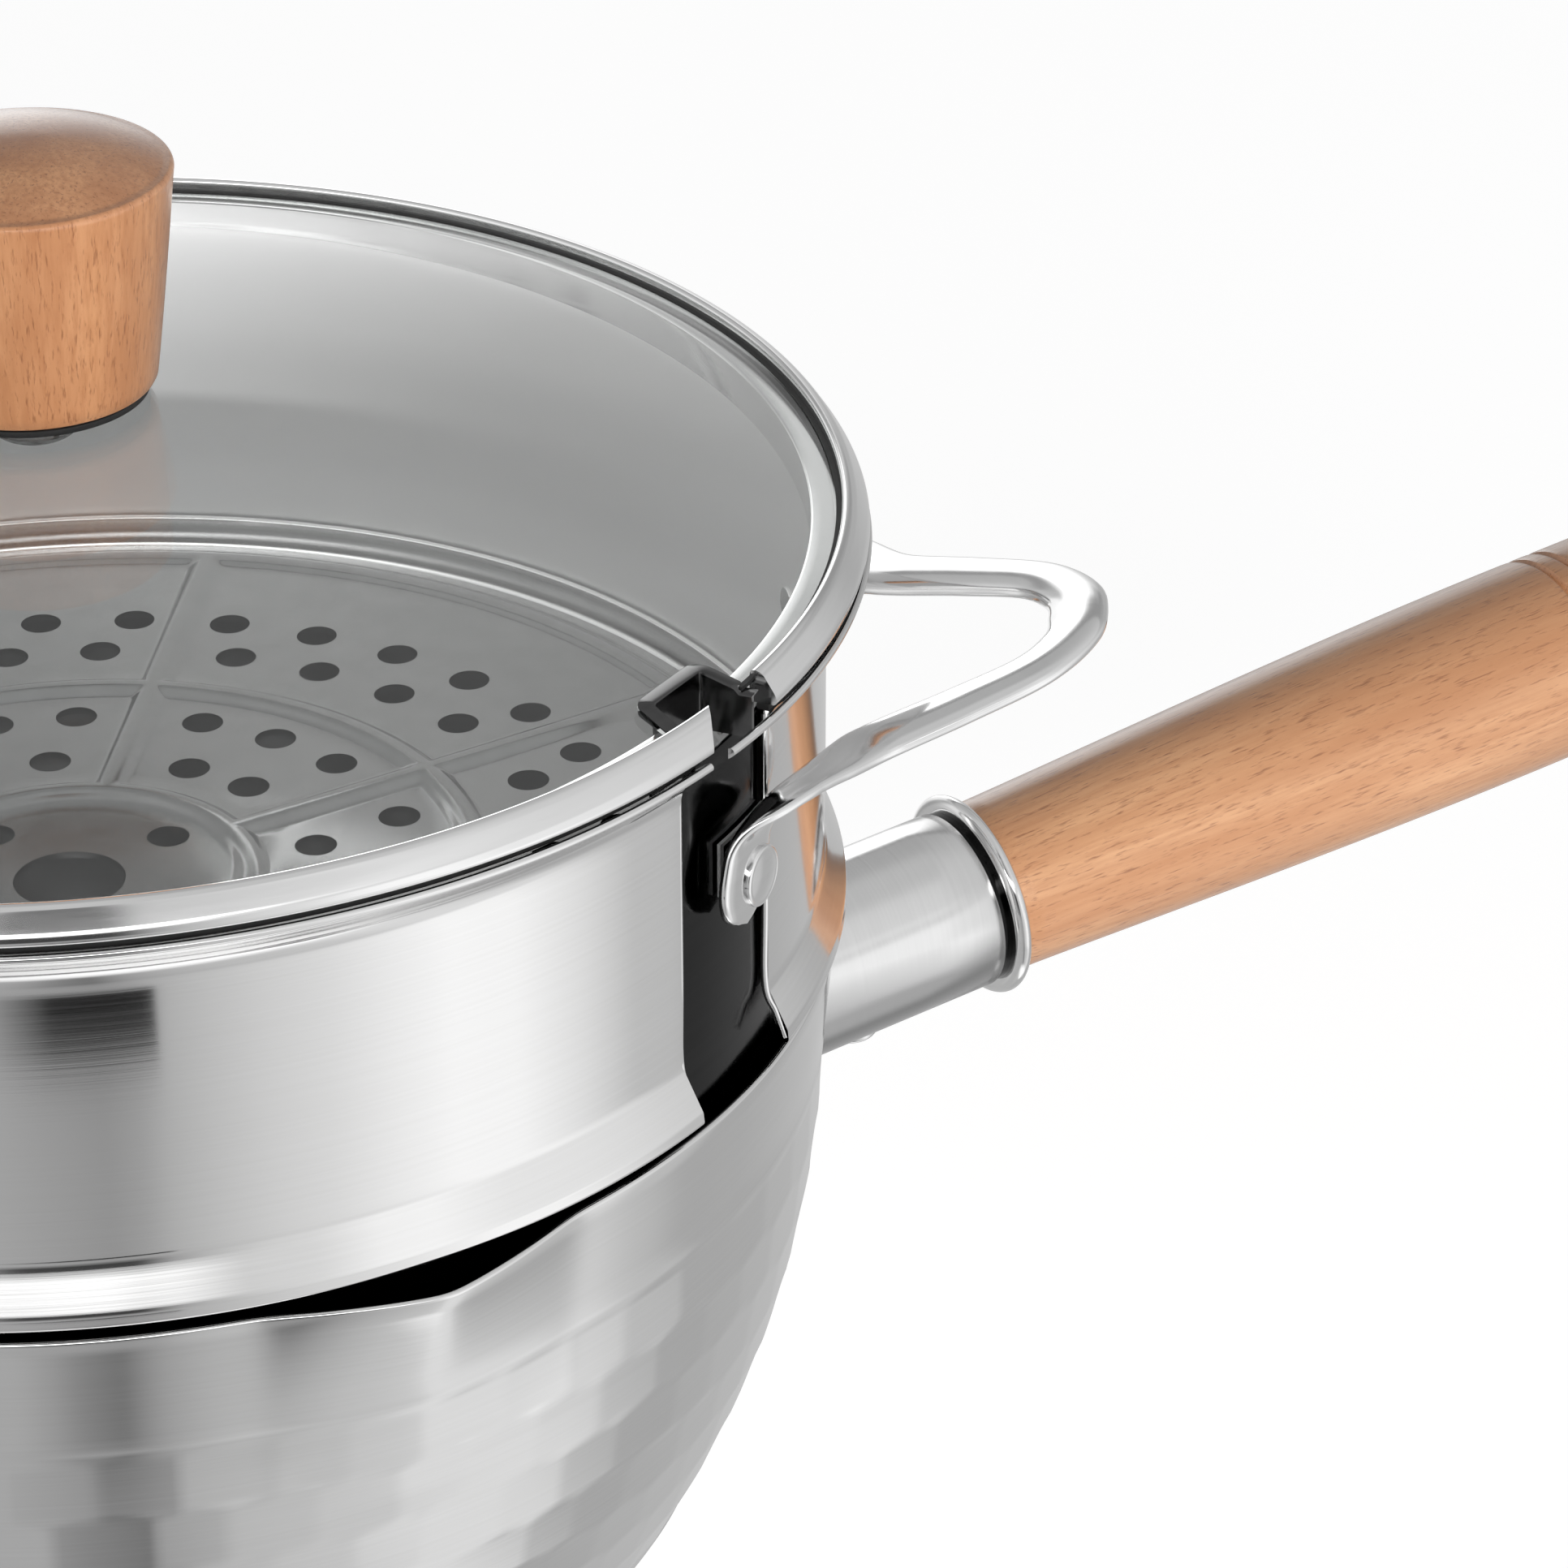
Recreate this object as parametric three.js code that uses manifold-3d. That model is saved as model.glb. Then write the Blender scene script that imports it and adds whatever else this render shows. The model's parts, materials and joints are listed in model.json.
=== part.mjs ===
// Yukihira pan with a steamer tier and a glass lid.
// Millimetres, +Z up. The origin is the centre of the pot's flat base, and the wooden handle points to +X.
import * as THREE from 'three';
import { mergeVertices } from 'three/addons/utils/BufferGeometryUtils.js';
import Module from 'manifold-3d';

const wasm = await Module();
wasm.setup();

// Fits and facets
const fitGap = 0.3; // between two pieces that touch or are fastened
const roundSteps = 48; // round the pot, the steamer and the lid
const handleSteps = 32; // round the handle and the knob
const smallSteps = 12; // round screws and rivets
const headTopShare = 0.7; // width of a fastener head's top as a share of the head
const farCut = 250; // reach of a cut that runs right through a piece
const degrees = Math.PI / 180;

// Pot
const potHeight = 90;
const potRimRadius = 90.5;
const potWall = 1;
const lipDepth = 15; // the nearly straight band under the rim
const lipFlare = 1.5; // how far the lip opens out over its depth
const bowlCurveRadius = 120;
const baseCornerRadius = 32;
const spoutReach = 4.6;
const spoutHalfAngle = 11 * degrees;
const spoutDepth = 30;
const spoutFade = 1.5; // how fast the spout dies away down the wall
const spoutGather = 0.2; // how far the pot's facets gather towards the spouts
const spoutAngles = [-90 * degrees, 90 * degrees];

// Wooden handle, measured along its own axis
const handleDrop = 50.2; // from the pot's rim to where the handle's line meets the pot's axis
const handleTilt = 5.6 * degrees;
const socketRadius = 12;
const socketWall = 1;
const socketReach = 35; // past the pot's rim
const collarThickness = 2.5;
const collarGap = 0.8; // the dark line between the socket's end and the collar
const gripNeckRadius = 11;
const gripShoulderRadius = 11.7;
const gripShoulderLength = 2.5;
const gripFullRadius = 14.1;
const gripLength = 128.5; // past the socket's end
const gripTangLength = 30;
const gripEndRounding = 9;
const groovesFromEnd = [31, 27.5];
const grooveDepth = 0.6;
const grooveWidth = 1.4;
const handleScrewInset = 17.5; // from the socket's end
const handleScrewRadius = 1.8;
const handleScrewLength = 9;
const handleScrewHeadRadius = 3.4;
const handleScrewHeadHeight = 1.8;

// Steamer
const steamerHeight = 48.9; // from the pot's rim to the top of the bead
const steamerInset = 1.5; // inside the pot's rim
const steamerWall = 0.8;
const beadHalfWidth = 2.8;
const beadHalfHeight = 1.7;
const flareHeight = 6.1;
const flareReach = 1.6;
const hemWidth = 1.4;
const hemHeight = 0.8;
const slotStart = -65.8 * degrees;
const slotEnd = -53.3 * degrees;
const bridgeThickness = 1.1; // the strip of wall that crosses the slot behind the cut bead
const padMargin = 1.8; // wall left between the slot and the rivet beside it
const shieldSheet = 0.5; // dark sheet that closes the slot from inside
const shieldOverlap = 2.2 * degrees; // past each side of the slot

// Ring welded into the steamer: it carries the plate and drops into the pot's mouth
const seatSheet = 0.8;
const seatRingRise = 8.7; // from the flare's foot to the ring's upper edge
const seatLedgeRise = 4.5; // from the flare's foot to the top of the ledge
const seatLedgeWidth = 9;
const seatSkirtDepth = 6; // below the pot's rim

// Steam plate
const plateThickness = 0.8;
const plateEdgeGap = 1.2;
const fingerHoleRadius = 6.5;
const steamHoleRadius = 2.5;
const steamHoleSides = 6;
const plateSectors = 7;
const plateTurn = 27.3 * degrees; // middle of the first sector
const innerHoleRing = 0.1688; // rings of holes and ribs are shares of the plate's radius
const innerHoleCount = 4;
const innerHoleTurn = 13 * degrees;
const sectorHoleRings = [
  { ring: 0.3376, count: 2, step: 17.5 * degrees },
  { ring: 0.4657, count: 3, step: 14.5 * degrees },
  { ring: 0.6636, count: 4, step: 11.4 * degrees },
  { ring: 0.7602, count: 5, step: 10.2 * degrees },
];
const ribRings = [0.2445, 0.5495, 0.9546];
const ribFootWidth = 3;
const ribTopWidth = 1.4;
const ribHeight = 0.7;

// Loop handles of the steamer
const loopAngles = { right: -34.5 * degrees, left: 145.5 * degrees };
const loopReach = 30.6; // from the wall to the middle of the strap at the tip
const loopHalfWidth = 17.4;
const loopTilt = 15 * degrees;
const loopDrop = 15.7; // from the top of the bead to the strap's root
const strapBends = [[0.22, 1.28], [0.56, 1], [0.83, 0.7], [0.97, 0.35]]; // shares of reach and half width
const strapSteps = 28;
const strapWidth = 6.5;
const strapThickness = 2;
const strapRounding = 0.5;
const lugHalfAngle = 23 * degrees;
const lugWidth = 10.5;
const lugThickness = 1.6;
const lugDrop = 13; // from the strap's root to the lug's lower end
const rivetRise = 5.6; // from the lug's lower end
const rivetRadius = 2;
const rivetHeadRadius = 3.7;
const rivetHeadHeight = 1.8;
const rivetTailRadius = 3.2;
const rivetTailHeight = 1.2;

// Lid
const lidOverhang = 5; // past the steamer's wall
const lidRimHeight = 3.6;
const lidRimSheet = 0.5;
const lidRimBulge = 2.2;
const lidRimCover = 4.6; // width of the rim's top over the glass
const lidSkirtDepth = 4.8;
const lidSkirtGap = 1; // inside the steamer's wall
const glassThickness = 3.4;
const glassEdgeThickness = 1.7; // ground to enter the rim
const glassRise = 14.8;
const glassInset = 3.5; // from the rim's outside to the edge of the glass
const glassHoleRadius = 3.5;
const notchAngle = -62.9 * degrees;
const notchWidth = 12;
const notchDepth = 10.6;
const linerSheet = 0.6;
const linerReach = 8.6;
const linerHeight = 5;

// Knob and its fixing
const knobFootRadius = 14;
const knobTopRadius = 17.2;
const knobSideHeight = 25.2;
const knobCrown = 4.8;
const knobCrownShares = [0.95, 0.8, 0.55, 0.25, 0]; // radii on the crown, of the top's radius
const insertRadius = 3.8;
const insertLength = 14;
const insertEndGap = 1;
const knobScrewRadius = 2;
const knobScrewHeadRadius = 5;
const knobScrewHeadHeight = 2.4;
const knobScrewReach = 11; // into the knob
const gasketRadius = 9;
const gasketThickness = 0.8;
const washerRadius = 8;
const washerThickness = 1;

// Places that follow from the sizes above
const bowlStartRadius = potRimRadius - lipFlare;
const handleAxisHeight = potHeight - handleDrop;
const socketStart = potRimRadius / 2;
const socketEnd = potRimRadius + socketReach;
const gripEnd = socketEnd + gripLength;
const handleScrewPlace = socketEnd - handleScrewInset;
const steamerRadius = potRimRadius - steamerInset;
const lidRimRadius = steamerRadius + lidOverhang;
const steamerInside = steamerRadius - steamerWall;
const flareFoot = potHeight + fitGap;
const flareRadius = steamerRadius + flareReach;
const beadTop = potHeight + steamerHeight;
const beadFoot = beadTop - 2 * beadHalfHeight;
const shieldOutside = steamerInside - fitGap;
const shieldStart = slotStart - shieldOverlap;
const shieldEnd = slotEnd + shieldOverlap;
const seatOutside = steamerInside - fitGap;
const seatInside = seatOutside - seatSheet;
const seatLedge = flareFoot + seatLedgeRise;
const plateFoot = seatLedge + fitGap;
const plateTop = plateFoot + plateThickness;
const plateRadius = seatInside - plateEdgeGap;
const loopRoot = beadTop - loopDrop;
const lugFoot = loopRoot - lugDrop;
const lugInside = steamerRadius + fitGap;
const rivetHeight = lugFoot + rivetRise;
const rimFoot = beadTop + fitGap;
const rimTop = rimFoot + lidRimHeight;
const skirtOutside = steamerInside - lidSkirtGap;
const skirtInside = skirtOutside - lidRimSheet;
const skirtFoot = rimFoot - lidSkirtDepth;
const notchBack = lidRimRadius - notchDepth;
const glassEdge = lidRimRadius - glassInset;
const glassFoot = rimFoot + lidRimSheet + fitGap;
const glassTop = glassFoot + glassEdgeThickness + glassRise;
const glassHollow = glassTop - glassThickness - glassFoot;
const knobFoot = glassTop + gasketThickness + 2 * fitGap;

// Looks
const brightSteel = { color: 0xcfd1d2, metalness: 1, roughness: 0.22 };
const satinSteel = { color: 0xc2c4c5, metalness: 1, roughness: 0.36 };
const darkSteel = { color: 0x55585a, metalness: 1, roughness: 0.4 };
const beech = { color: 0xc88f5c, metalness: 0, roughness: 0.55 };
const clearGlass = { color: 0xe6ecec, metalness: 0, roughness: 0.05, transparent: true, opacity: 0.35 };
const brass = { color: 0xc6a058, metalness: 1, roughness: 0.35 };
const silicone = { color: 0x4a4a48, metalness: 0, roughness: 0.8 };

// Welds a geometry's corners, drops the flat triangles on the axis and gives a solid for cutting.
function solid(geometry) {
  geometry.deleteAttribute('normal');
  geometry.deleteAttribute('uv');
  const welded = mergeVertices(geometry, 1e-4);
  const index = welded.index.array;
  const corners = [];
  for (let i = 0; i < index.length; i += 3) {
    const [a, b, c] = index.slice(i, i + 3);
    if (a !== b && b !== c && c !== a) corners.push(a, b, c);
  }
  const mesh = new wasm.Mesh({
    numProp: 3,
    vertProperties: new Float32Array(welded.attributes.position.array),
    triVerts: new Uint32Array(corners),
  });
  return new wasm.Manifold(mesh);
}

function addPart(parent, name, body, look) {
  const { vertProperties, triVerts } = body.getMesh();
  const geometry = new THREE.BufferGeometry();
  geometry.setAttribute('position', new THREE.BufferAttribute(vertProperties, 3));
  geometry.setIndex(new THREE.BufferAttribute(triVerts, 1));
  geometry.computeVertexNormals();
  const mesh = new THREE.Mesh(geometry, new THREE.MeshStandardMaterial(look));
  mesh.name = name;
  parent.add(mesh);
}

// Points of an arc or ellipse, both ends included.
function arc(centreX, centreY, radiusX, radiusY, from, to, steps) {
  const turns = Array.from({ length: steps + 1 }, (_, i) => from + ((to - from) * i) / steps);
  return turns.map((turn) => [centreX + radiusX * Math.cos(turn), centreY + radiusY * Math.sin(turn)]);
}

// A shape turned about Z from a profile of radius and height that runs anticlockwise.
function turned(profile, steps) {
  return new THREE.LatheGeometry(asVectors(profile), steps).rotateX(Math.PI / 2);
}

// The same for a section that stays clear of the axis and closes on itself.
function turnedRing(section, steps) {
  return turned([...section, section[0]], steps);
}

function sleeve(inner, outer, bottom, top, steps) {
  return turnedRing([[inner, bottom], [outer, bottom], [outer, top], [inner, top]], steps);
}

function rod(radius, bottom, top, steps = smallSteps) {
  return turned([[0, bottom], [radius, bottom], [radius, top], [0, top]], steps);
}

// A box that stands at an angle round the Z axis, between an inner and an outer radius.
function radialBox(angle, inner, outer, width, bottom, top) {
  const box = new THREE.BoxGeometry(outer - inner, width, top - bottom);
  return box.translate((inner + outer) / 2, 0, (bottom + top) / 2).rotateZ(angle);
}

// Lays a shape that was turned about Z along X instead.
function alongX(geometry) {
  return geometry.rotateY(Math.PI / 2);
}

// Pot: base, corner arc, bowl arc and lip, with the whole line moved inwards by an offset.
function potProfile(offset) {
  const bowlX = bowlStartRadius - bowlCurveRadius;
  const bowlZ = potHeight - lipDepth;
  const drop = bowlZ - baseCornerRadius;
  const apart = bowlCurveRadius - baseCornerRadius;
  const cornerX = bowlX + Math.sqrt(apart ** 2 - drop ** 2);
  const meet = -Math.asin(drop / apart);
  const corner = baseCornerRadius - offset;
  const bowl = bowlCurveRadius - offset;
  const lip = [1 / 3, 2 / 3, 1].map((share) => {
    const radius = bowlStartRadius + (potRimRadius - bowlStartRadius) * share;
    return [radius - offset, bowlZ + lipDepth * share];
  });
  return [
    [0, offset],
    ...arc(cornerX, baseCornerRadius, corner, corner, -Math.PI / 2, meet, 4),
    ...arc(bowlX, bowlZ, bowl, bowl, meet, 0, 6).slice(1),
    ...lip,
  ];
}

// Draws the lip out into a point at each spout angle, with the facets gathered towards the spouts.
function drawSpouts(geometry) {
  const place = geometry.attributes.position;
  for (let i = 0; i < place.count; i += 1) {
    const radius = Math.hypot(place.getX(i), place.getY(i));
    const evenTurn = Math.atan2(place.getY(i), place.getX(i));
    const turn = evenTurn + spoutGather * Math.sin(2 * evenTurn);
    const depth = potHeight - place.getZ(i);
    const fade = Math.max(0, 1 - depth / spoutDepth) ** spoutFade;
    const turnsAway = spoutAngles.map((angle) => Math.acos(Math.cos(turn - angle)));
    const pull = Math.max(0, 1 - Math.min(...turnsAway) / spoutHalfAngle);
    const drawn = radius + spoutReach * pull * fade;
    place.setXY(i, drawn * Math.cos(turn), drawn * Math.sin(turn));
  }
  return geometry;
}

function potBody() {
  const profile = [...potProfile(0), ...potProfile(potWall).reverse()];
  return solid(drawSpouts(turned(profile, roundSteps)));
}

// Everything inside the pot's outside, with room for the weld, as seen from the handle's own frame.
function potForSocket(handle) {
  const room = new THREE.Matrix4().copy(handle.matrix).invert();
  const profile = [...potProfile(-fitGap), [0, potHeight]];
  return solid(turned(profile, roundSteps).applyMatrix4(room));
}

function handleScrewHole() {
  const top = handleScrewLength - socketRadius + fitGap;
  const hole = rod(handleScrewRadius + fitGap, -farCut, top);
  return solid(hole.translate(handleScrewPlace, 0, 0));
}

function handleSocket(handle) {
  const tube = sleeve(socketRadius - socketWall, socketRadius, socketStart, socketEnd, handleSteps);
  return solid(alongX(tube)).subtract(potForSocket(handle)).subtract(handleScrewHole());
}

function collarRing() {
  const half = collarThickness / 2;
  const middle = gripNeckRadius + fitGap + half;
  const place = socketEnd + collarGap + half;
  return solid(alongX(turned(arc(middle, place, half, half, -Math.PI, Math.PI, 8), handleSteps)));
}

function handleGrip() {
  const tang = socketRadius - socketWall - fitGap;
  const tangStart = socketEnd - gripTangLength;
  const neckStart = socketEnd + fitGap;
  const neckEnd = socketEnd + collarGap + collarThickness + fitGap;
  const roundStart = gripEnd - gripEndRounding;
  const endFlat = gripFullRadius - gripEndRounding;
  const grooves = groovesFromEnd.flatMap((fromEnd) => {
    const place = gripEnd - fromEnd;
    const half = grooveWidth / 2;
    const bottom = gripFullRadius - grooveDepth;
    return [[gripFullRadius, place - half], [bottom, place], [gripFullRadius, place + half]];
  });
  const profile = [
    [0, tangStart],
    [tang, tangStart],
    [tang, neckStart],
    [gripNeckRadius, neckStart],
    [gripNeckRadius, neckEnd],
    [gripShoulderRadius, neckEnd + gripShoulderLength],
    ...grooves,
    ...arc(endFlat, roundStart, gripEndRounding, gripEndRounding, 0, Math.PI / 2, 4),
    [0, gripEnd],
  ];
  return solid(alongX(turned(profile, handleSteps))).subtract(handleScrewHole());
}

function handleScrew() {
  const headTop = -socketRadius - fitGap;
  const headFoot = headTop - handleScrewHeadHeight;
  const tip = handleScrewLength - socketRadius;
  const profile = [
    [0, headFoot],
    [handleScrewHeadRadius * headTopShare, headFoot],
    [handleScrewHeadRadius, headFoot + handleScrewHeadHeight / 2],
    [handleScrewHeadRadius, headTop],
    [handleScrewRadius, headTop],
    [handleScrewRadius, tip - handleScrewRadius],
    [0, tip],
  ];
  return solid(turned(profile, smallSteps).translate(handleScrewPlace, 0, 0));
}

// Wall, bead and flare in one section.
function steamerSection() {
  const beadX = steamerRadius - steamerWall / 2 + beadHalfWidth;
  const beadZ = beadTop - beadHalfHeight;
  const joint = Math.acos((steamerRadius - beadX) / beadHalfWidth);
  return [
    [flareRadius - hemWidth, flareFoot],
    [flareRadius, flareFoot],
    [flareRadius, flareFoot + hemHeight],
    [steamerRadius, flareFoot + flareHeight],
    ...arc(beadX, beadZ, beadHalfWidth, beadHalfHeight, -joint, joint, 8),
    [steamerInside, beadZ],
    [steamerInside, flareFoot + flareHeight],
    [flareRadius - hemWidth, flareFoot + hemHeight],
  ];
}

// A box across the steamer's wall between two angles.
function wallBox(from, to, bottom, top) {
  const width = 2 * steamerRadius * Math.sin((to - from) / 2);
  const past = flareReach + beadHalfWidth;
  return solid(radialBox((from + to) / 2, steamerInside - past, flareRadius + past, width, bottom, top));
}

// The slot behind the right-hand front lug, less the tongue of wall that the lug is riveted to.
function steamerSlot() {
  const tongueWidth = rivetRadius + fitGap + padMargin;
  const tongueStart = loopAngles.right - lugHalfAngle - tongueWidth / steamerRadius;
  const slot = wallBox(slotStart, slotEnd, potHeight, beadFoot);
  return slot.subtract(wallBox(tongueStart, slotEnd + padMargin / steamerRadius, lugFoot, loopRoot));
}

function beadCut() {
  const inner = steamerInside + bridgeThickness;
  return solid(radialBox(notchAngle, inner, farCut, notchWidth, beadFoot, farCut));
}

function lugAngles() {
  return Object.values(loopAngles).flatMap((angle) => [angle - lugHalfAngle, angle + lugHalfAngle]);
}

function rivetHole(angle) {
  const hole = rod(rivetRadius + fitGap, seatInside / 2, farCut);
  return solid(alongX(hole).translate(0, 0, rivetHeight).rotateZ(angle));
}

function steamerShell() {
  let shell = solid(turnedRing(steamerSection(), roundSteps));
  shell = shell.subtract(steamerSlot()).subtract(beadCut());
  for (const angle of lugAngles()) shell = shell.subtract(rivetHole(angle));
  return shell;
}

function plateSeatRing() {
  const foot = potHeight - seatSkirtDepth;
  const ledgeInside = seatInside - seatLedgeWidth;
  const section = [
    [seatInside, foot],
    [seatOutside, foot],
    [seatOutside, flareFoot + seatRingRise],
    [seatInside, flareFoot + seatRingRise],
    [seatInside, seatLedge],
    [ledgeInside, seatLedge],
    [ledgeInside, seatLedge - seatSheet],
    [seatInside, seatLedge - seatSheet],
  ];
  const margin = fitGap / steamerRadius;
  const shieldRoom = radialSector(shieldStart - margin, shieldEnd + margin, seatInside, flareFoot, beadTop);
  return solid(turnedRing(section, roundSteps)).subtract(shieldRoom);
}

// A block beyond an inner radius, between two angles and two heights.
function radialSector(from, to, inner, bottom, top) {
  const ring = solid(sleeve(inner, steamerInside, bottom, top, roundSteps));
  return ring.intersect(wallBox(from, to, bottom, top));
}

function slotShield() {
  const inner = shieldOutside - shieldSheet;
  const sheet = solid(sleeve(inner, shieldOutside, flareFoot + fitGap, skirtFoot - fitGap, roundSteps));
  const tailRoom = rod(rivetTailRadius + fitGap, seatInside / 2, farCut);
  const rivetAngle = loopAngles.right - lugHalfAngle;
  return sheet
    .intersect(wallBox(shieldStart, shieldEnd, potHeight, beadTop))
    .subtract(solid(alongX(tailRoom).translate(0, 0, rivetHeight).rotateZ(rivetAngle)));
}

function asVectors(points) {
  return points.map(([x, y]) => new THREE.Vector2(x, y));
}

function circlePath(x, y, radius, sides) {
  return asVectors(arc(x, y, radius, radius, 0, 2 * Math.PI, sides).slice(1));
}

function sectorAngles() {
  return Array.from({ length: plateSectors }, (_, i) => plateTurn + (i * 2 * Math.PI) / plateSectors);
}

// Middle points of the steam holes.
function steamHolePlaces() {
  const places = [];
  for (let i = 0; i < innerHoleCount; i += 1) {
    places.push([innerHoleRing * plateRadius, innerHoleTurn + (i * 2 * Math.PI) / innerHoleCount]);
  }
  for (const sector of sectorAngles()) {
    for (const { ring, count, step } of sectorHoleRings) {
      for (let i = 0; i < count; i += 1) {
        places.push([ring * plateRadius, sector + (i - (count - 1) / 2) * step]);
      }
    }
  }
  return places.map(([radius, angle]) => [radius * Math.cos(angle), radius * Math.sin(angle)]);
}

function steamPlate() {
  const outline = new THREE.Shape(circlePath(0, 0, plateRadius, roundSteps));
  outline.holes.push(new THREE.Path(circlePath(0, 0, fingerHoleRadius, handleSteps / 2)));
  for (const [x, y] of steamHolePlaces()) {
    outline.holes.push(new THREE.Path(circlePath(x, y, steamHoleRadius, steamHoleSides)));
  }
  const disc = new THREE.ExtrudeGeometry(outline, { depth: plateThickness, bevelEnabled: false });
  let plate = solid(disc.translate(0, 0, plateFoot));
  const ribTop = plateTop + ribHeight;
  const ribFoot = plateTop - plateThickness / 2;
  const ribRadii = ribRings.map((ring) => ring * plateRadius);
  for (const radius of ribRadii) {
    const section = [
      [radius - ribFootWidth / 2, ribFoot],
      [radius + ribFootWidth / 2, ribFoot],
      [radius + ribTopWidth / 2, ribTop],
      [radius - ribTopWidth / 2, ribTop],
    ];
    plate = plate.add(solid(turnedRing(section, handleSteps)));
  }
  for (const sector of sectorAngles()) {
    const angle = sector + Math.PI / plateSectors;
    plate = plate.add(solid(radialBox(angle, ribRadii[0], ribRadii.at(-1), ribTopWidth, ribFoot, ribTop)));
  }
  return plate;
}

// Outline of the loop's strap seen from above, measured outwards from the wall.
function strapOutline() {
  const lugX = lugInside * Math.cos(lugHalfAngle) - steamerRadius;
  const lugY = lugInside * Math.sin(lugHalfAngle);
  const bends = strapBends.map(([out, side]) => [out * loopReach, side * loopHalfWidth]);
  const half = [[lugX, lugY], ...bends];
  const mirrored = half.map(([x, y]) => [x, -y]).reverse();
  const middle = new THREE.SplineCurve(asVectors([...half, [loopReach, 0], ...mirrored]));
  const side = strapWidth / 2 - strapRounding;
  const edge = (sign) => Array.from({ length: strapSteps + 1 }, (_, i) => {
    const along = middle.getTangent(i / strapSteps);
    const outwards = new THREE.Vector2(-along.y, along.x);
    return middle.getPoint(i / strapSteps).add(outwards.multiplyScalar(sign * side));
  });
  return new THREE.Shape([...edge(1), ...edge(-1).reverse()]);
}

function lugPlate(angle) {
  const half = lugWidth / 2;
  const round = arc(0, lugFoot + half, half, half, -Math.PI, 0, 8);
  const outline = new THREE.Shape(asVectors([...round, [half, loopRoot], [-half, loopRoot]]));
  const plate = new THREE.ExtrudeGeometry(outline, { depth: lugThickness, bevelEnabled: false });
  return plate.rotateX(Math.PI / 2).rotateZ(Math.PI / 2).translate(lugInside, 0, 0).rotateZ(angle);
}

// The loop is built about +X, and its group turns it to its place.
function loopHandle() {
  const bevel = { bevelThickness: strapRounding, bevelSize: strapRounding, bevelSegments: 1 };
  const strap = new THREE.ExtrudeGeometry(strapOutline(), { depth: strapThickness, ...bevel });
  strap.translate(0, 0, -strapThickness / 2).rotateY(-loopTilt).translate(steamerRadius, 0, loopRoot);
  let loop = solid(strap);
  for (const angle of [-lugHalfAngle, lugHalfAngle]) {
    loop = loop.add(solid(lugPlate(angle)));
    loop = loop.subtract(rivetHole(angle));
  }
  return loop.subtract(solid(rod(lugInside, 0, farCut, roundSteps)));
}

function rivet(angle) {
  const tailTop = steamerInside - fitGap;
  const headFoot = lugInside + lugThickness + fitGap;
  const headTop = headFoot + rivetHeadHeight;
  const profile = [
    [0, tailTop - rivetTailHeight],
    [rivetTailRadius, tailTop - rivetTailHeight],
    [rivetTailRadius, tailTop],
    [rivetRadius, tailTop],
    [rivetRadius, headFoot],
    [rivetHeadRadius, headFoot],
    [rivetHeadRadius, headFoot + rivetHeadHeight / 2],
    [rivetHeadRadius * headTopShare, headTop],
    [0, headTop],
  ];
  return solid(alongX(turned(profile, smallSteps)).translate(0, 0, rivetHeight).rotateZ(angle));
}

// Height at a radius of a round dome that rises from the edge of the glass.
function domeHeight(edgeHeight, rise, radius) {
  const curve = (glassEdge ** 2 + rise ** 2) / (2 * rise);
  return edgeHeight + rise - curve + Math.sqrt(curve ** 2 - radius ** 2);
}

function glassHeight(radius) {
  return domeHeight(glassFoot + glassEdgeThickness, glassRise, radius);
}

function lidNotch() {
  return solid(radialBox(notchAngle, notchBack, farCut, notchWidth, 0, farCut));
}

function lidGlass() {
  const steps = 7;
  const across = glassEdge - glassHoleRadius;
  const radii = Array.from({ length: steps + 1 }, (_, i) => glassHoleRadius + (across * i) / steps);
  const lower = radii.map((radius) => [radius, domeHeight(glassFoot, glassHollow, radius)]);
  const upper = radii.map((radius) => [radius, glassHeight(radius)]).reverse();
  return solid(turnedRing([...lower, ...upper], roundSteps)).subtract(lidNotch());
}

function lidRim() {
  const bulgeX = lidRimRadius - lidRimBulge;
  const bulgeZ = rimFoot + lidRimHeight / 2;
  const half = lidRimHeight / 2;
  const quarter = Math.PI / 2;
  const coverInside = lidRimRadius - lidRimCover;
  const section = [
    [skirtInside, skirtFoot],
    [skirtOutside, skirtFoot],
    [skirtOutside, rimFoot],
    ...arc(bulgeX, bulgeZ, lidRimBulge, half, -quarter, quarter, 6),
    [coverInside, rimTop],
    [coverInside, rimTop - lidRimSheet],
    ...arc(bulgeX, bulgeZ, lidRimBulge - lidRimSheet, half - lidRimSheet, quarter, -quarter, 4),
    [skirtInside, rimFoot + lidRimSheet],
  ];
  return solid(turnedRing(section, roundSteps)).subtract(lidNotch());
}

// Three walls of sheet that line the notch.
function notchLiner() {
  const back = notchBack + fitGap;
  const width = notchWidth - 2 * fitGap;
  const top = glassHeight(notchBack) + fitGap;
  const foot = top - linerHeight;
  const block = radialBox(notchAngle, back, back + linerReach, width, foot, top);
  const inner = back + linerSheet;
  const room = radialBox(notchAngle, inner, farCut, width - 2 * linerSheet, 0, farCut);
  return solid(block).subtract(solid(room));
}

function lidKnob() {
  const bore = insertRadius + fitGap;
  const boreTop = knobFoot + fitGap + insertLength + insertEndGap;
  const edge = knobFoot + knobSideHeight;
  const crown = knobCrownShares.map((share) => {
    return [knobTopRadius * share, edge + knobCrown * (1 - share ** 2)];
  });
  const profile = [
    [0, boreTop],
    [bore, boreTop],
    [bore, knobFoot],
    [knobFootRadius, knobFoot],
    [knobTopRadius, edge],
    ...crown,
  ];
  return solid(turned(profile, handleSteps));
}

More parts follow.
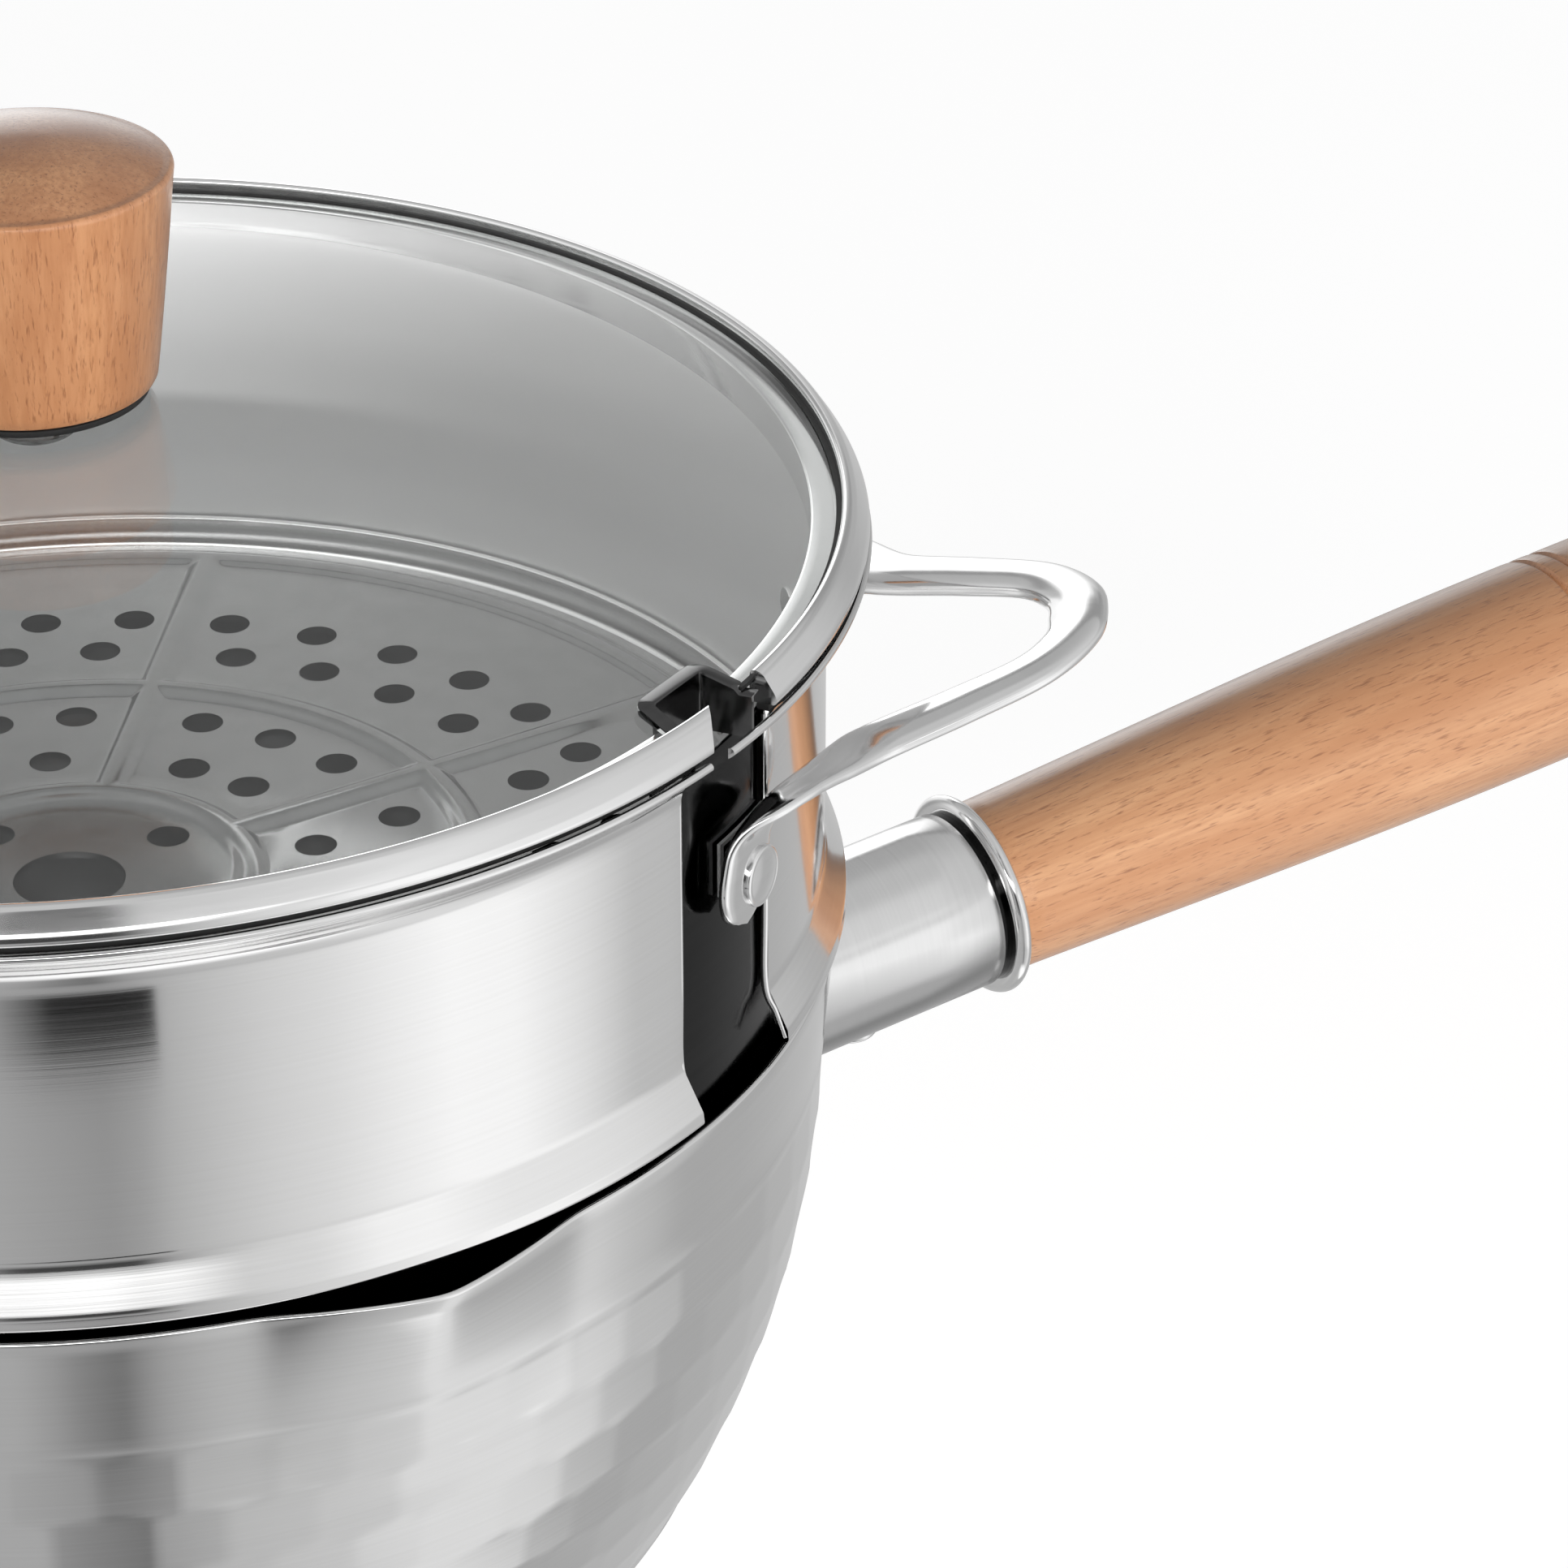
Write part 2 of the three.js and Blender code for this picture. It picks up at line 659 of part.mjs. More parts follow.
function knobScrew() {
  const headTop = glassTop - glassThickness - washerThickness - 2 * fitGap;
  const headFoot = headTop - knobScrewHeadHeight;
  const profile = [
    [0, headFoot],
    [knobScrewHeadRadius * headTopShare, headFoot],
    [knobScrewHeadRadius, headFoot + knobScrewHeadHeight / 2],
    [knobScrewHeadRadius, headTop],
    [knobScrewRadius, headTop],
    [knobScrewRadius, knobFoot + knobScrewReach],
    [0, knobFoot + knobScrewReach],
  ];
  return solid(turned(profile, smallSteps * 2));
}

function fixingSleeve(outer, bottom, height) {
  return solid(sleeve(knobScrewRadius + fitGap, outer, bottom, bottom + height, smallSteps * 2));
}

function buildPot() {
  const pot = new THREE.Group();
  addPart(pot, 'pot_body', potBody(), satinSteel);
  const handle = new THREE.Group();
  handle.position.z = handleAxisHeight;
  handle.rotation.y = -handleTilt;
  handle.updateMatrix();
  pot.add(handle);
  addPart(handle, 'handle_socket', handleSocket(handle), satinSteel);
  addPart(handle, 'collar_ring', collarRing(), satinSteel);
  addPart(handle, 'handle_grip', handleGrip(), beech);
  addPart(handle, 'handle_screw', handleScrew(), brightSteel);
  return pot;
}

function buildSteamer() {
  const steamer = new THREE.Group();
  addPart(steamer, 'steamer_shell', steamerShell(), satinSteel);
  addPart(steamer, 'plate_seat_ring', plateSeatRing(), satinSteel);
  addPart(steamer, 'slot_shield', slotShield(), darkSteel);
  addPart(steamer, 'steam_plate', steamPlate(), satinSteel);
  for (const [side, angle] of Object.entries(loopAngles)) {
    const loop = new THREE.Group();
    loop.rotation.z = angle;
    steamer.add(loop);
    addPart(loop, `loop_handle_${side}`, loopHandle(), brightSteel);
    addPart(loop, `rivet_${side}_front`, rivet(-lugHalfAngle), brightSteel);
    addPart(loop, `rivet_${side}_rear`, rivet(lugHalfAngle), brightSteel);
  }
  return steamer;
}

function buildLid() {
  const lid = new THREE.Group();
  addPart(lid, 'lid_glass', lidGlass(), clearGlass);
  addPart(lid, 'lid_rim', lidRim(), brightSteel);
  addPart(lid, 'notch_liner', notchLiner(), darkSteel);
  addPart(lid, 'lid_knob', lidKnob(), beech);
  addPart(lid, 'knob_insert', fixingSleeve(insertRadius, knobFoot + fitGap, insertLength), brass);
  addPart(lid, 'knob_screw', knobScrew(), brightSteel);
  addPart(lid, 'knob_gasket', fixingSleeve(gasketRadius, glassTop + fitGap, gasketThickness), silicone);
  const washerFoot = glassTop - glassThickness - fitGap - washerThickness;
  addPart(lid, 'knob_washer', fixingSleeve(washerRadius, washerFoot, washerThickness), brightSteel);
  return lid;
}

const pan = new THREE.Group();
pan.add(buildPot(), buildSteamer(), buildLid());

export default pan;
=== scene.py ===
import json
import math
import bmesh
import bpy
import numpy as np
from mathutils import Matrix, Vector


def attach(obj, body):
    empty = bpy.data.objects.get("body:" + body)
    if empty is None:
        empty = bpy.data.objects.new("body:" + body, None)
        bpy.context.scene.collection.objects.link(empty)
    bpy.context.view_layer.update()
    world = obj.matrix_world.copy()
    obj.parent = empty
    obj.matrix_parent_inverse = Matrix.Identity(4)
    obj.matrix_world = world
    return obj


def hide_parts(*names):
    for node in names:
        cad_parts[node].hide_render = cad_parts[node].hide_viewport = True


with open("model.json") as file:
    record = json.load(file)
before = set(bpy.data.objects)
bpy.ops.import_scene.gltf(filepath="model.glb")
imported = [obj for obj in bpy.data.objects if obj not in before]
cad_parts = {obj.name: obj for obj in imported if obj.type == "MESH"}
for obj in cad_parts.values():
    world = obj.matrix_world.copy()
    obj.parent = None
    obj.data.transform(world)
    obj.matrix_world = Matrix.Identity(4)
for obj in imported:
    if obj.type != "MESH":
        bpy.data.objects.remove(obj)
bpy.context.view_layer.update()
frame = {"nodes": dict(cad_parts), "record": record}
record = frame["record"]
bodyOf = {node: body for body, nodes in record["behaviour"]["bodies"].items() for node in nodes}
print("frame:", len(frame["nodes"]), "nodes")

# All shapes below are worked out in millimetres and put into the mesh in metres.


def packed(*columns):
    # Arrays of one shape side by side, as the coordinates of points.
    return np.stack(np.broadcast_arrays(*columns), -1)


def unit(vectors):
    return vectors / np.linalg.norm(vectors, axis=-1, keepdims=True)


def lengthAlong(points):
    # Way gone along a row of points.
    return np.r_[0, np.cumsum(np.linalg.norm(np.diff(points, axis=0), axis=1))]


def fullTurn(steps):
    return np.linspace(0, 2 * np.pi, steps, endpoint=False)


def gridFaces(rows, cols, wrapRows=False, wrapCols=False):
    # Quads between neighbouring rows and columns of a grid, going round where it wraps.
    lastRow, lastCol = rows if wrapRows else rows - 1, cols if wrapCols else cols - 1
    row, col = np.meshgrid(np.arange(lastRow), np.arange(lastCol), indexing="ij")
    below, beside = (row + 1) % rows * cols, (col + 1) % cols
    return packed(row * cols + col, below + col, below + beside, row * cols + beside).reshape(-1, 4).tolist()


def arcPoints(centre, radii, start, stop, steps):
    # Points of an ellipse's arc, angles in degrees.
    turn = np.radians(np.linspace(start, stop, steps))
    return packed(centre[0] + radii[0] * np.cos(turn), centre[1] + radii[1] * np.sin(turn))


def roundCorners(corners, radius, steps=5):
    # Each corner of a closed outline becomes a quadratic curve between points set back along its two edges.
    corners = np.asarray(corners, float)
    toLast, toNext = np.roll(corners, 1, 0) - corners, np.roll(corners, -1, 0) - corners
    reach = np.minimum(np.linalg.norm(toLast, axis=1), np.linalg.norm(toNext, axis=1)) * 0.49
    back = np.minimum(np.broadcast_to(radius, len(corners)), reach)[:, None]
    start, stop = corners + unit(toLast) * back, corners + unit(toNext) * back
    share = np.linspace(0, 1, steps)[None, :, None]
    curve = (1 - share) ** 2 * start[:, None] + 2 * share * (1 - share) * corners[:, None]
    return (curve + share ** 2 * stop[:, None]).reshape(-1, 2)


def evenOut(outline, longest, closed=True):
    # Adds points so that no piece of the outline is much longer than the given length.
    outline = np.asarray(outline, float)
    ring = np.vstack([outline, outline[:1]]) if closed else outline
    ring = ring[np.r_[True, np.linalg.norm(np.diff(ring, axis=0), axis=1) > 1e-5]]
    length = lengthAlong(ring)
    places = np.union1d(length, np.arange(0, length[-1], longest))
    places = places[np.r_[True, np.diff(places) > 1e-3]]
    dense = packed(np.interp(places, length, ring[:, 0]), np.interp(places, length, ring[:, 1]))
    return dense[:-1] if closed else dense


def smoothPath(points, steps):
    # Centripetal spline through a row of points, in any number of dimensions.
    points = np.asarray(points, float)
    padded = np.vstack([2 * points[0] - points[1], points, 2 * points[-1] - points[-2]])
    knots = np.r_[0, np.cumsum(np.linalg.norm(np.diff(points, axis=0), axis=1) ** 0.5)]
    place = np.linspace(0, knots[-1], steps)
    span = np.clip(np.searchsorted(knots, place, side="right") - 1, 0, len(points) - 2)
    t = ((place - knots[span]) / (knots[span + 1] - knots[span]))[:, None]
    a, b, c, d = (padded[span + k] for k in range(4))
    return 0.5 * (2 * b + (c - a) * t + (2 * a - 5 * b + 4 * c - d) * t ** 2 + (3 * b - a - 3 * c + d) * t ** 3)


def carriedRound(turn, radius, height):
    # Radius and height at each angle round the Z axis, one row of points for each angle.
    return packed(np.cos(turn)[:, None] * radius, np.sin(turn)[:, None] * radius, height)


def turned(section, steps, closed=True):
    # A section of radius and height carried round the Z axis.
    radius, height = np.asarray(section).T
    points = carriedRound(fullTurn(steps), radius, height).reshape(-1, 3)
    return points, gridFaces(steps, len(radius), True, closed)


def swept(rows):
    # A closed section carried along an open path, one row of points for each step, with flat ends.
    steps, sides = rows.shape[:2]
    ends = [list(range(sides))[::-1], list(range((steps - 1) * sides, steps * sides))]
    return rows.reshape(-1, 3), gridFaces(steps, sides, False, True) + ends


def spun(shape, degreesTurned):
    # A shape turned round the Z axis.
    (points, faces), turn = shape, math.radians(degreesTurned)
    x, y, z = points.T
    return packed(x * math.cos(turn) - y * math.sin(turn), x * math.sin(turn) + y * math.cos(turn), z), faces


def box(inner, outer, low, high):
    return [[inner, low], [outer, low], [outer, high], [inner, high]]


def prism(outline, depths, angle):
    # An outline across and up, carried outwards between two depths at an angle round the Z axis.
    across, up = np.asarray(outline, float).T
    return spun(swept(np.stack([packed(depth, across, up) for depth in depths])), angle)


def upright(outline, bottom, top, angle):
    # An outline seen from above, carried up between two heights and turned round the Z axis.
    out, side = np.asarray(outline, float).T
    return spun(swept(np.stack([packed(out, side, height) for height in (bottom, top)])), angle)


def radialBlock(angle, inner, outer, width, bottom, top):
    # A box at an angle round the Z axis, used for cutting.
    return upright(box(inner, outer, -width / 2, width / 2), bottom, top, angle)


def joined(parts):
    # Several shapes as one.
    starts = np.cumsum([0] + [len(points) for points, _ in parts])
    faces = [[i + start for i in face] for (_, part), start in zip(parts, starts) for face in part]
    return np.concatenate([points for points, _ in parts]), faces


def meshFrom(name, points, faces):
    mesh = bpy.data.meshes.new(name)
    mesh.from_pydata((points * 0.001).tolist(), [], faces)
    work = bmesh.new()
    work.from_mesh(mesh)
    bmesh.ops.remove_doubles(work, verts=work.verts, dist=1e-7)
    bmesh.ops.dissolve_degenerate(work, dist=1e-8, edges=work.edges)
    bmesh.ops.recalc_face_normals(work, faces=work.faces)
    work.to_mesh(mesh)
    work.free()
    return mesh


def smoothShade(mesh, sharp):
    mesh.shade_smooth()
    mesh.set_sharp_from_angle(angle=math.radians(sharp))


def linked(name, data):
    made = bpy.data.objects.new(name, data)
    bpy.context.scene.collection.objects.link(made)
    return made


def addPiece(name, shape, body, finish, sharp=32):
    mesh = meshFrom(name, *shape)
    smoothShade(mesh, sharp)
    mesh.materials.append(finish)
    piece = linked(name, mesh)
    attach(piece, body)
    return piece


def makePiece(name, shape, node, finish, sharp=32):
    piece = addPiece(name, shape, bodyOf[node], finish, sharp)
    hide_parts(node)
    return piece


def cutAway(piece, part, sharp=32):
    # Takes a shape out of a piece and puts the result back as its mesh.
    cutter = linked("cutter", meshFrom("cutter", *part))
    cut = piece.modifiers.new("cut", "BOOLEAN")
    cut.operation, cut.solver, cut.object = "DIFFERENCE", "EXACT", cutter
    ready = piece.evaluated_get(bpy.context.evaluated_depsgraph_get())
    mesh, before = bpy.data.meshes.new_from_object(ready), piece.data
    piece.modifiers.clear()
    piece.data = mesh
    mesh.name = piece.name
    smoothShade(mesh, sharp)
    bpy.data.meshes.remove(before)
    bpy.data.objects.remove(cutter)


# Finishes


def add(tree, kind, inputs=None, **settings):
    made = tree.nodes.new(kind if kind.startswith("NodeGroup") else "ShaderNode" + kind)
    for key, value in settings.items():
        setattr(made, key, value)
    for key, value in (inputs or {}).items():
        if isinstance(value, bpy.types.NodeSocket):
            tree.links.new(value, made.inputs[key])
        else:
            made.inputs[key].default_value = value
    return made


def feed(tree, kind, inputs=None, **settings):
    return add(tree, kind, inputs, **settings).outputs[0]


def worked(tree, operation, a, b=0.0, c=0.0):
    return feed(tree, "Math", {0: a, 1: b, 2: c}, operation=operation)


def ranged(tree, value, low, high, fromLow=0.0, fromHigh=1.0):
    keys = {"Value": value, "From Min": fromLow, "From Max": fromHigh, "To Min": low, "To Max": high}
    return feed(tree, "MapRange", keys)


def mixColour(tree, share, first, second):
    keys = {0: share, 6: first, 7: second}
    return add(tree, "Mix", keys, data_type="RGBA").outputs[2]


def mixShader(tree, share, first, second):
    return feed(tree, "MixShader", {0: share, 1: first, 2: second})


def noise(tree, vector, scale, detail=2.0, roughness=0.5):
    keys = {"Vector": vector, "Scale": scale, "Detail": detail, "Roughness": roughness}
    return add(tree, "TexNoise", keys).outputs["Fac"]


def axes(tree, vector):
    return add(tree, "SeparateXYZ", {0: vector}).outputs


def cameraSees(tree):
    # One where the camera looks, also through glass, and the kinds of ray.
    rays = add(tree, "LightPath").outputs
    return worked(tree, "MAXIMUM", rays["Is Camera Ray"], rays["Is Transmission Ray"]), rays


def newGroup(name, inputs, outputs):
    tree = bpy.data.node_groups.new(name, "ShaderNodeTree")
    for socket, kind, value in inputs:
        made = tree.interface.new_socket(socket, in_out="INPUT", socket_type=kind)
        if value is not None:
            made.default_value = value
    for socket, kind in outputs:
        tree.interface.new_socket(socket, in_out="OUTPUT", socket_type=kind)
    return tree, add(tree, "NodeGroupInput").outputs, add(tree, "NodeGroupOutput").inputs


def brushMarksGroup():
    # Long thin streaks from stretched noise, with broad soft patches over them.
    tree, given, out = newGroup(
        "brushMarks",
        [("Vector", "NodeSocketVector", None), ("Patch Size", "NodeSocketFloat", 25.0)],
        [("Marks", "NodeSocketFloat"), ("Patches", "NodeSocketFloat")],
    )
    where = add(tree, "TexCoord").outputs["Object"]
    tree.links.new(noise(tree, given["Vector"], 1.0, 3.0, 0.65), out["Marks"])
    tree.links.new(noise(tree, where, given["Patch Size"], 2.0), out["Patches"])
    return tree


def woodGrainGroup():
    # Grain runs along the vector's X: soft bands, fine fibres and short dark pores, all from stretched noise.
    tree, given, out = newGroup(
        "woodGrain",
        [
            ("Vector", "NodeSocketVector", None),
            ("Light", "NodeSocketColor", (0.6, 0.3, 0.15, 1)),
            ("Deep", "NodeSocketColor", (0.4, 0.2, 0.1, 1)),
            ("Pore", "NodeSocketColor", (0.2, 0.1, 0.05, 1)),
        ],
        [("Color", "NodeSocketColor"), ("Fibres", "NodeSocketFloat"), ("Pores", "NodeSocketFloat")],
    )

    def stretched(along, across, detail):
        scaled = feed(tree, "Mapping", {"Vector": given["Vector"], "Scale": (along, across, across)})
        return noise(tree, scaled, 1.0, detail, 0.6)

    bands = stretched(9.0, 130.0, 4.0)
    fibres = stretched(70.0, 1500.0, 4.0)
    pores = ranged(tree, stretched(300.0, 3000.0, 2.0), 0.0, 1.0, 0.56, 0.74)
    blotches = stretched(28.0, 60.0, 2.0)
    colour = mixColour(tree, ranged(tree, bands, 0, 1, 0.34, 0.66), given["Light"], given["Deep"])
    warm = mixColour(tree, ranged(tree, blotches, 0, 0.55, 0.45, 0.75), colour, given["Deep"])
    combed = mixColour(tree, ranged(tree, fibres, 0, 0.85, 0.42, 0.72), warm, given["Deep"])
    pored = mixColour(tree, worked(tree, "MULTIPLY", pores, 0.75), combed, given["Pore"])
    for key, value in (("Color", pored), ("Fibres", fibres), ("Pores", pores)):
        tree.links.new(value, out[key])
    return tree


brushMarks, woodGrain = brushMarksGroup(), woodGrainGroup()


def placed(tree, which, inputs):
    return add(tree, "Group", inputs, node_tree=which).outputs


def newFinish(name):
    finish = bpy.data.materials.new(name)
    finish.use_nodes = True
    tree = finish.node_tree
    tree.nodes.clear()
    shader = add(tree, "BsdfPrincipled")
    out = add(tree, "OutputMaterial", {"Surface": shader.outputs[0]})
    return finish, tree, shader, add(tree, "TexCoord").outputs["Object"], out


def dressed(tree, shader, colour, rough, height=None, strength=0.0, distance=0.0):
    # Colour, roughness and fine relief that change over the surface.
    tree.links.new(colour, shader.inputs["Base Color"])
    tree.links.new(rough, shader.inputs["Roughness"])
    if height:
        ridges = feed(tree, "Bump", {"Height": height, "Strength": strength, "Distance": distance})
        tree.links.new(ridges, shader.inputs["Normal"])


def steelFinish(name, pale, deep, roughness, streaks, bump, inside=None, below=None, hollow=None):
    # Brushed sheet: streaks are the noise scales per metre along X, Y and Z. The side nearer the axis may be
    # duller and painted paler as painted light; painted shade may darken what lies below two heights and faces
    # that look to the axis.
    finish, tree, shader, where, _ = newFinish(name)
    laid = feed(tree, "Mapping", {"Vector": where, "Scale": streaks})
    marks = placed(tree, brushMarks, {"Vector": laid, "Patch Size": 22.0})
    fine = worked(tree, "MULTIPLY", marks["Marks"], 0.55)
    tone = worked(tree, "ADD", fine, worked(tree, "MULTIPLY", marks["Patches"], 0.45))
    colour = mixColour(tree, ranged(tree, tone, 0, 1, 0.3, 0.7), deep, pale)
    rough = ranged(tree, tone, roughness[0], roughness[1], 0.3, 0.7)
    # Painted shade: below the two heights the colour goes over to the given dark one.
    if below:
        height = axes(tree, where)["Z"]
        colour = mixColour(tree, ranged(tree, height, 0, 1, below[0], below[1]), below[2], colour)
    if hollow or inside:
        level = feed(tree, "VectorMath", {0: where, 1: (1, 1, 0)}, operation="MULTIPLY")
    # Painted shade: faces that look to the axis take the given darker colour.
    if hollow:
        facing = add(tree, "TexCoord").outputs["Normal"]
        outwards = add(tree, "VectorMath", {0: level, 1: facing}, operation="DOT_PRODUCT")
        turnedOut = ranged(tree, outwards.outputs["Value"], 0, 1, -0.002, 0.002)
        colour = mixColour(tree, turnedOut, hollow, colour)
    # Nearer the axis the sheet is rougher, and its colour is painted paler as painted light.
    if inside:
        reach = add(tree, "VectorMath", {0: level}, operation="LENGTH").outputs["Value"]
        inner = ranged(tree, reach, 1.0, 0.0, inside[0], inside[0] + 0.0002)
        rough = worked(tree, "MULTIPLY_ADD", inner, inside[1], rough)
        colour = mixColour(tree, inner, colour, inside[2])
    shader.inputs["Metallic"].default_value = 1.0
    dressed(tree, shader, colour, rough, marks["Marks"], bump, 0.0001)
    return finish


def woodFinish(name, light, deep, pore, turn, place, roughness, coat):
    finish, tree, shader, where, _ = newFinish(name)
    laid = feed(tree, "Mapping", {"Vector": where, "Rotation": turn, "Location": place})
    grain = placed(tree, woodGrain, {"Vector": laid, "Light": light, "Deep": deep, "Pore": pore})
    rough = ranged(tree, grain["Fibres"], roughness[0], roughness[1])
    sunk = worked(tree, "SUBTRACT", worked(tree, "MULTIPLY", grain["Fibres"], 0.4), grain["Pores"])
    dressed(tree, shader, grain["Color"], rough, sunk, 0.22, 0.0002)
    shader.inputs["Coat Weight"].default_value = coat
    shader.inputs["Coat Roughness"].default_value = 0.2
    return finish


def glassFinish(name, pale, deep, straight):
    # Clear glass with faint smears; light for the inside passes it straight.
    finish, tree, shader, where, out = newFinish(name)
    smear = noise(tree, where, 55.0, 3.0)
    tint = mixColour(tree, ranged(tree, smear, 0, 1, 0.35, 0.7), pale, deep)
    dressed(tree, shader, tint, ranged(tree, smear, 0.0, 0.03, 0.45, 0.8))
    shader.inputs["Transmission Weight"].default_value = 1.0
    shader.inputs["IOR"].default_value = 1.47
    clear = feed(tree, "BsdfTransparent", {"Color": straight})
    seen, _ = cameraSees(tree)
    tree.links.new(mixShader(tree, seen, clear, shader.outputs[0]), out.inputs["Surface"])
    return finish


def softFinish(name, pale, deep, roughness):
    finish, tree, shader, where, _ = newFinish(name)
    speckle = noise(tree, where, 900.0, 3.0)
    rough = ranged(tree, speckle, roughness, roughness + 0.15)
    dressed(tree, shader, mixColour(tree, speckle, deep, pale), rough)
    return finish


def grey(level, warmth=0.0):
    return (level, level * (1 - warmth), level * (1 - 2 * warmth), 1)


sheet = dict(
    pale=grey(0.81), deep=grey(0.765, 0.004), roughness=(0.07, 0.12), bump=0.02,
    streaks=(16.0, 16.0, 2600.0),  # streaks run round the Z axis
)
satinSteel = steelFinish("satinSteel", **sheet)
# The pot's inward faces are painted darker: painted shade of the closed pot.
potSteel = steelFinish("potSteel", **sheet, hollow=grey(0.5))
# The steamer's inner side is rougher and painted paler: painted light on the inside wall.
wallSteel = steelFinish("wallSteel", **sheet, inside=(0.0885, 0.50, grey(0.95)))
# The seat ring is painted near black below its top band: painted shade in the gap under the steamer's hem.
seatSteel = steelFinish("seatSteel", **dict(sheet, roughness=(0.2, 0.28)), below=(0.0925, 0.094, grey(0.012)))
brightSteel = steelFinish("brightSteel", grey(0.86), grey(0.80), (0.08, 0.14), (60.0, 60.0, 900.0), 0.02)
plateSteel = steelFinish("plateSteel", grey(0.34), grey(0.29), (0.12, 0.18), (240.0, 240.0, 60.0), 0.02)
# The socket is painted darker low down: painted shade where it faces the shaded table under the handle.
socketSteel = steelFinish(
    "socketSteel", grey(0.80), grey(0.73), (0.14, 0.22), (2200.0, 30.0, 30.0), 0.05,
    below=(0.049, 0.054, grey(0.42)),
)
linerSteel = steelFinish("linerSteel", grey(0.12), grey(0.07), (0.10, 0.16), (40.0, 40.0, 700.0), 0.03)
# Near-black sheet for painted shade: in the collar's groove and behind the slot.
paintedShadeSteel = steelFinish("paintedShadeSteel", grey(0.022), grey(0.010), (0.09, 0.15), (40.0, 40.0, 700.0), 0.03)
brass = steelFinish(
    "brass", (0.72, 0.50, 0.20, 1), (0.60, 0.40, 0.15, 1), (0.25, 0.34), (50.0, 50.0, 1500.0), 0.05,
)
handleWood = woodFinish(
    "handleWood", (0.76, 0.415, 0.215, 1), (0.55, 0.255, 0.115, 1), (0.27, 0.10, 0.04, 1),
    (0, math.radians(5.6), 0), (0, 0, 0), (0.36, 0.50), 0.75,
)
knobWood = woodFinish(
    "knobWood", (0.70, 0.355, 0.175, 1), (0.47, 0.20, 0.085, 1), (0.25, 0.09, 0.035, 1),
    (0, math.radians(90), 0), (0.013, 0.021, 0.034), (0.34, 0.48), 0.75,
)
clearGlass = glassFinish(
    "clearGlass", (0.975, 0.985, 0.98, 1), (0.955, 0.965, 0.96, 1), (0.985, 0.99, 0.987, 1),
)
silicone = softFinish("silicone", grey(0.02), grey(0.01), 0.55)
print("finishes ready")

# Pot

pot = dict(
    height=90, rim=90.5, wall=1.0, rimRound=0.5, lip=15, bowlStart=89, bowl=120, corner=32,
    spoutReach=4.6, spoutHalf=11.0, spoutDepth=30, spoutFade=1.5, spoutAt=(-90, 90),
    spoutTip=0.1, spoutFoot=0.12,
    dentTop=73.0, dentPitch=8.2, dentRows=7, dentsRound=60, dentDepth=0.25, dentBulge=(165.0, 80.0), steps=600,
)


def potOutline(offset, counts):
    # Base, corner arc, bowl arc and lip, moved inwards by an offset, from the axis to the rim.
    bowlX, bowlZ = pot["bowlStart"] - pot["bowl"], pot["height"] - pot["lip"]
    apart, drop = pot["bowl"] - pot["corner"], bowlZ - pot["corner"]
    cornerX = bowlX + math.sqrt(apart ** 2 - drop ** 2)
    meet = -math.degrees(math.asin(drop / apart))
    corner, bowl = pot["corner"] - offset, pot["bowl"] - offset
    base = packed(np.linspace(0, cornerX, counts[0], endpoint=False), offset)
    cornerArc = arcPoints((cornerX, pot["corner"]), (corner, corner), -90, meet, counts[1])[:-1]
    bowlArc = arcPoints((bowlX, bowlZ), (bowl, bowl), meet, 0, counts[2])
    share = np.linspace(0, 1, counts[3])[1:, None]
    lip = np.array([pot["bowlStart"] - offset, bowlZ]) + share * [pot["rim"] - pot["bowlStart"], pot["lip"]]
    return np.vstack([base, cornerArc, bowlArc, lip])


def potRadiusAt(height):
    outline = potOutline(0, (8, 60, 120, 12))
    return np.interp(height, outline[8:, 1], outline[8:, 0])


def hammerDents(outline, turn):
    # Flat strikes in shifted rows: each cuts a plane, its depth less the bowl's own bulge, and the deepest
    # one shows.
    length = lengthAlong(outline)
    down = np.interp(pot["dentTop"], outline[:, 1], length) - length
    rows, columns = pot["dentRows"], pot["dentsRound"]
    bulgeAcross, bulgeDown = pot["dentBulge"]
    draw = np.random.default_rng(7)
    shift = 0.5 * (np.arange(rows) % 2) + draw.uniform(-0.06, 0.06, rows)
    jitter = draw.uniform(-0.08, 0.08, (rows, columns))
    depth = pot["dentDepth"] * draw.uniform(0.85, 1.15, (rows, columns))
    row = np.floor(down / pot["dentPitch"]).astype(int)
    used = np.clip(row, 0, rows - 1)
    level = down - (used + 0.5) * pot["dentPitch"]
    place = (turn / (2 * np.pi) * columns)[:, None] - shift[used][None, :]
    best = np.zeros(place.shape)
    for columnStep in (-1, 0, 1):
        column = np.floor(place).astype(int) + columnStep
        cell = (used[None, :], column % columns)
        across = (place - column - 0.5 - jitter[cell]) / columns * 2 * np.pi * outline[:, 0]
        sunk = depth[cell] - across ** 2 / (2 * bulgeAcross) - level[None, :] ** 2 / (2 * bulgeDown)
        best = np.maximum(best, np.where((row >= 0) & (row < rows), sunk, 0))
    return best


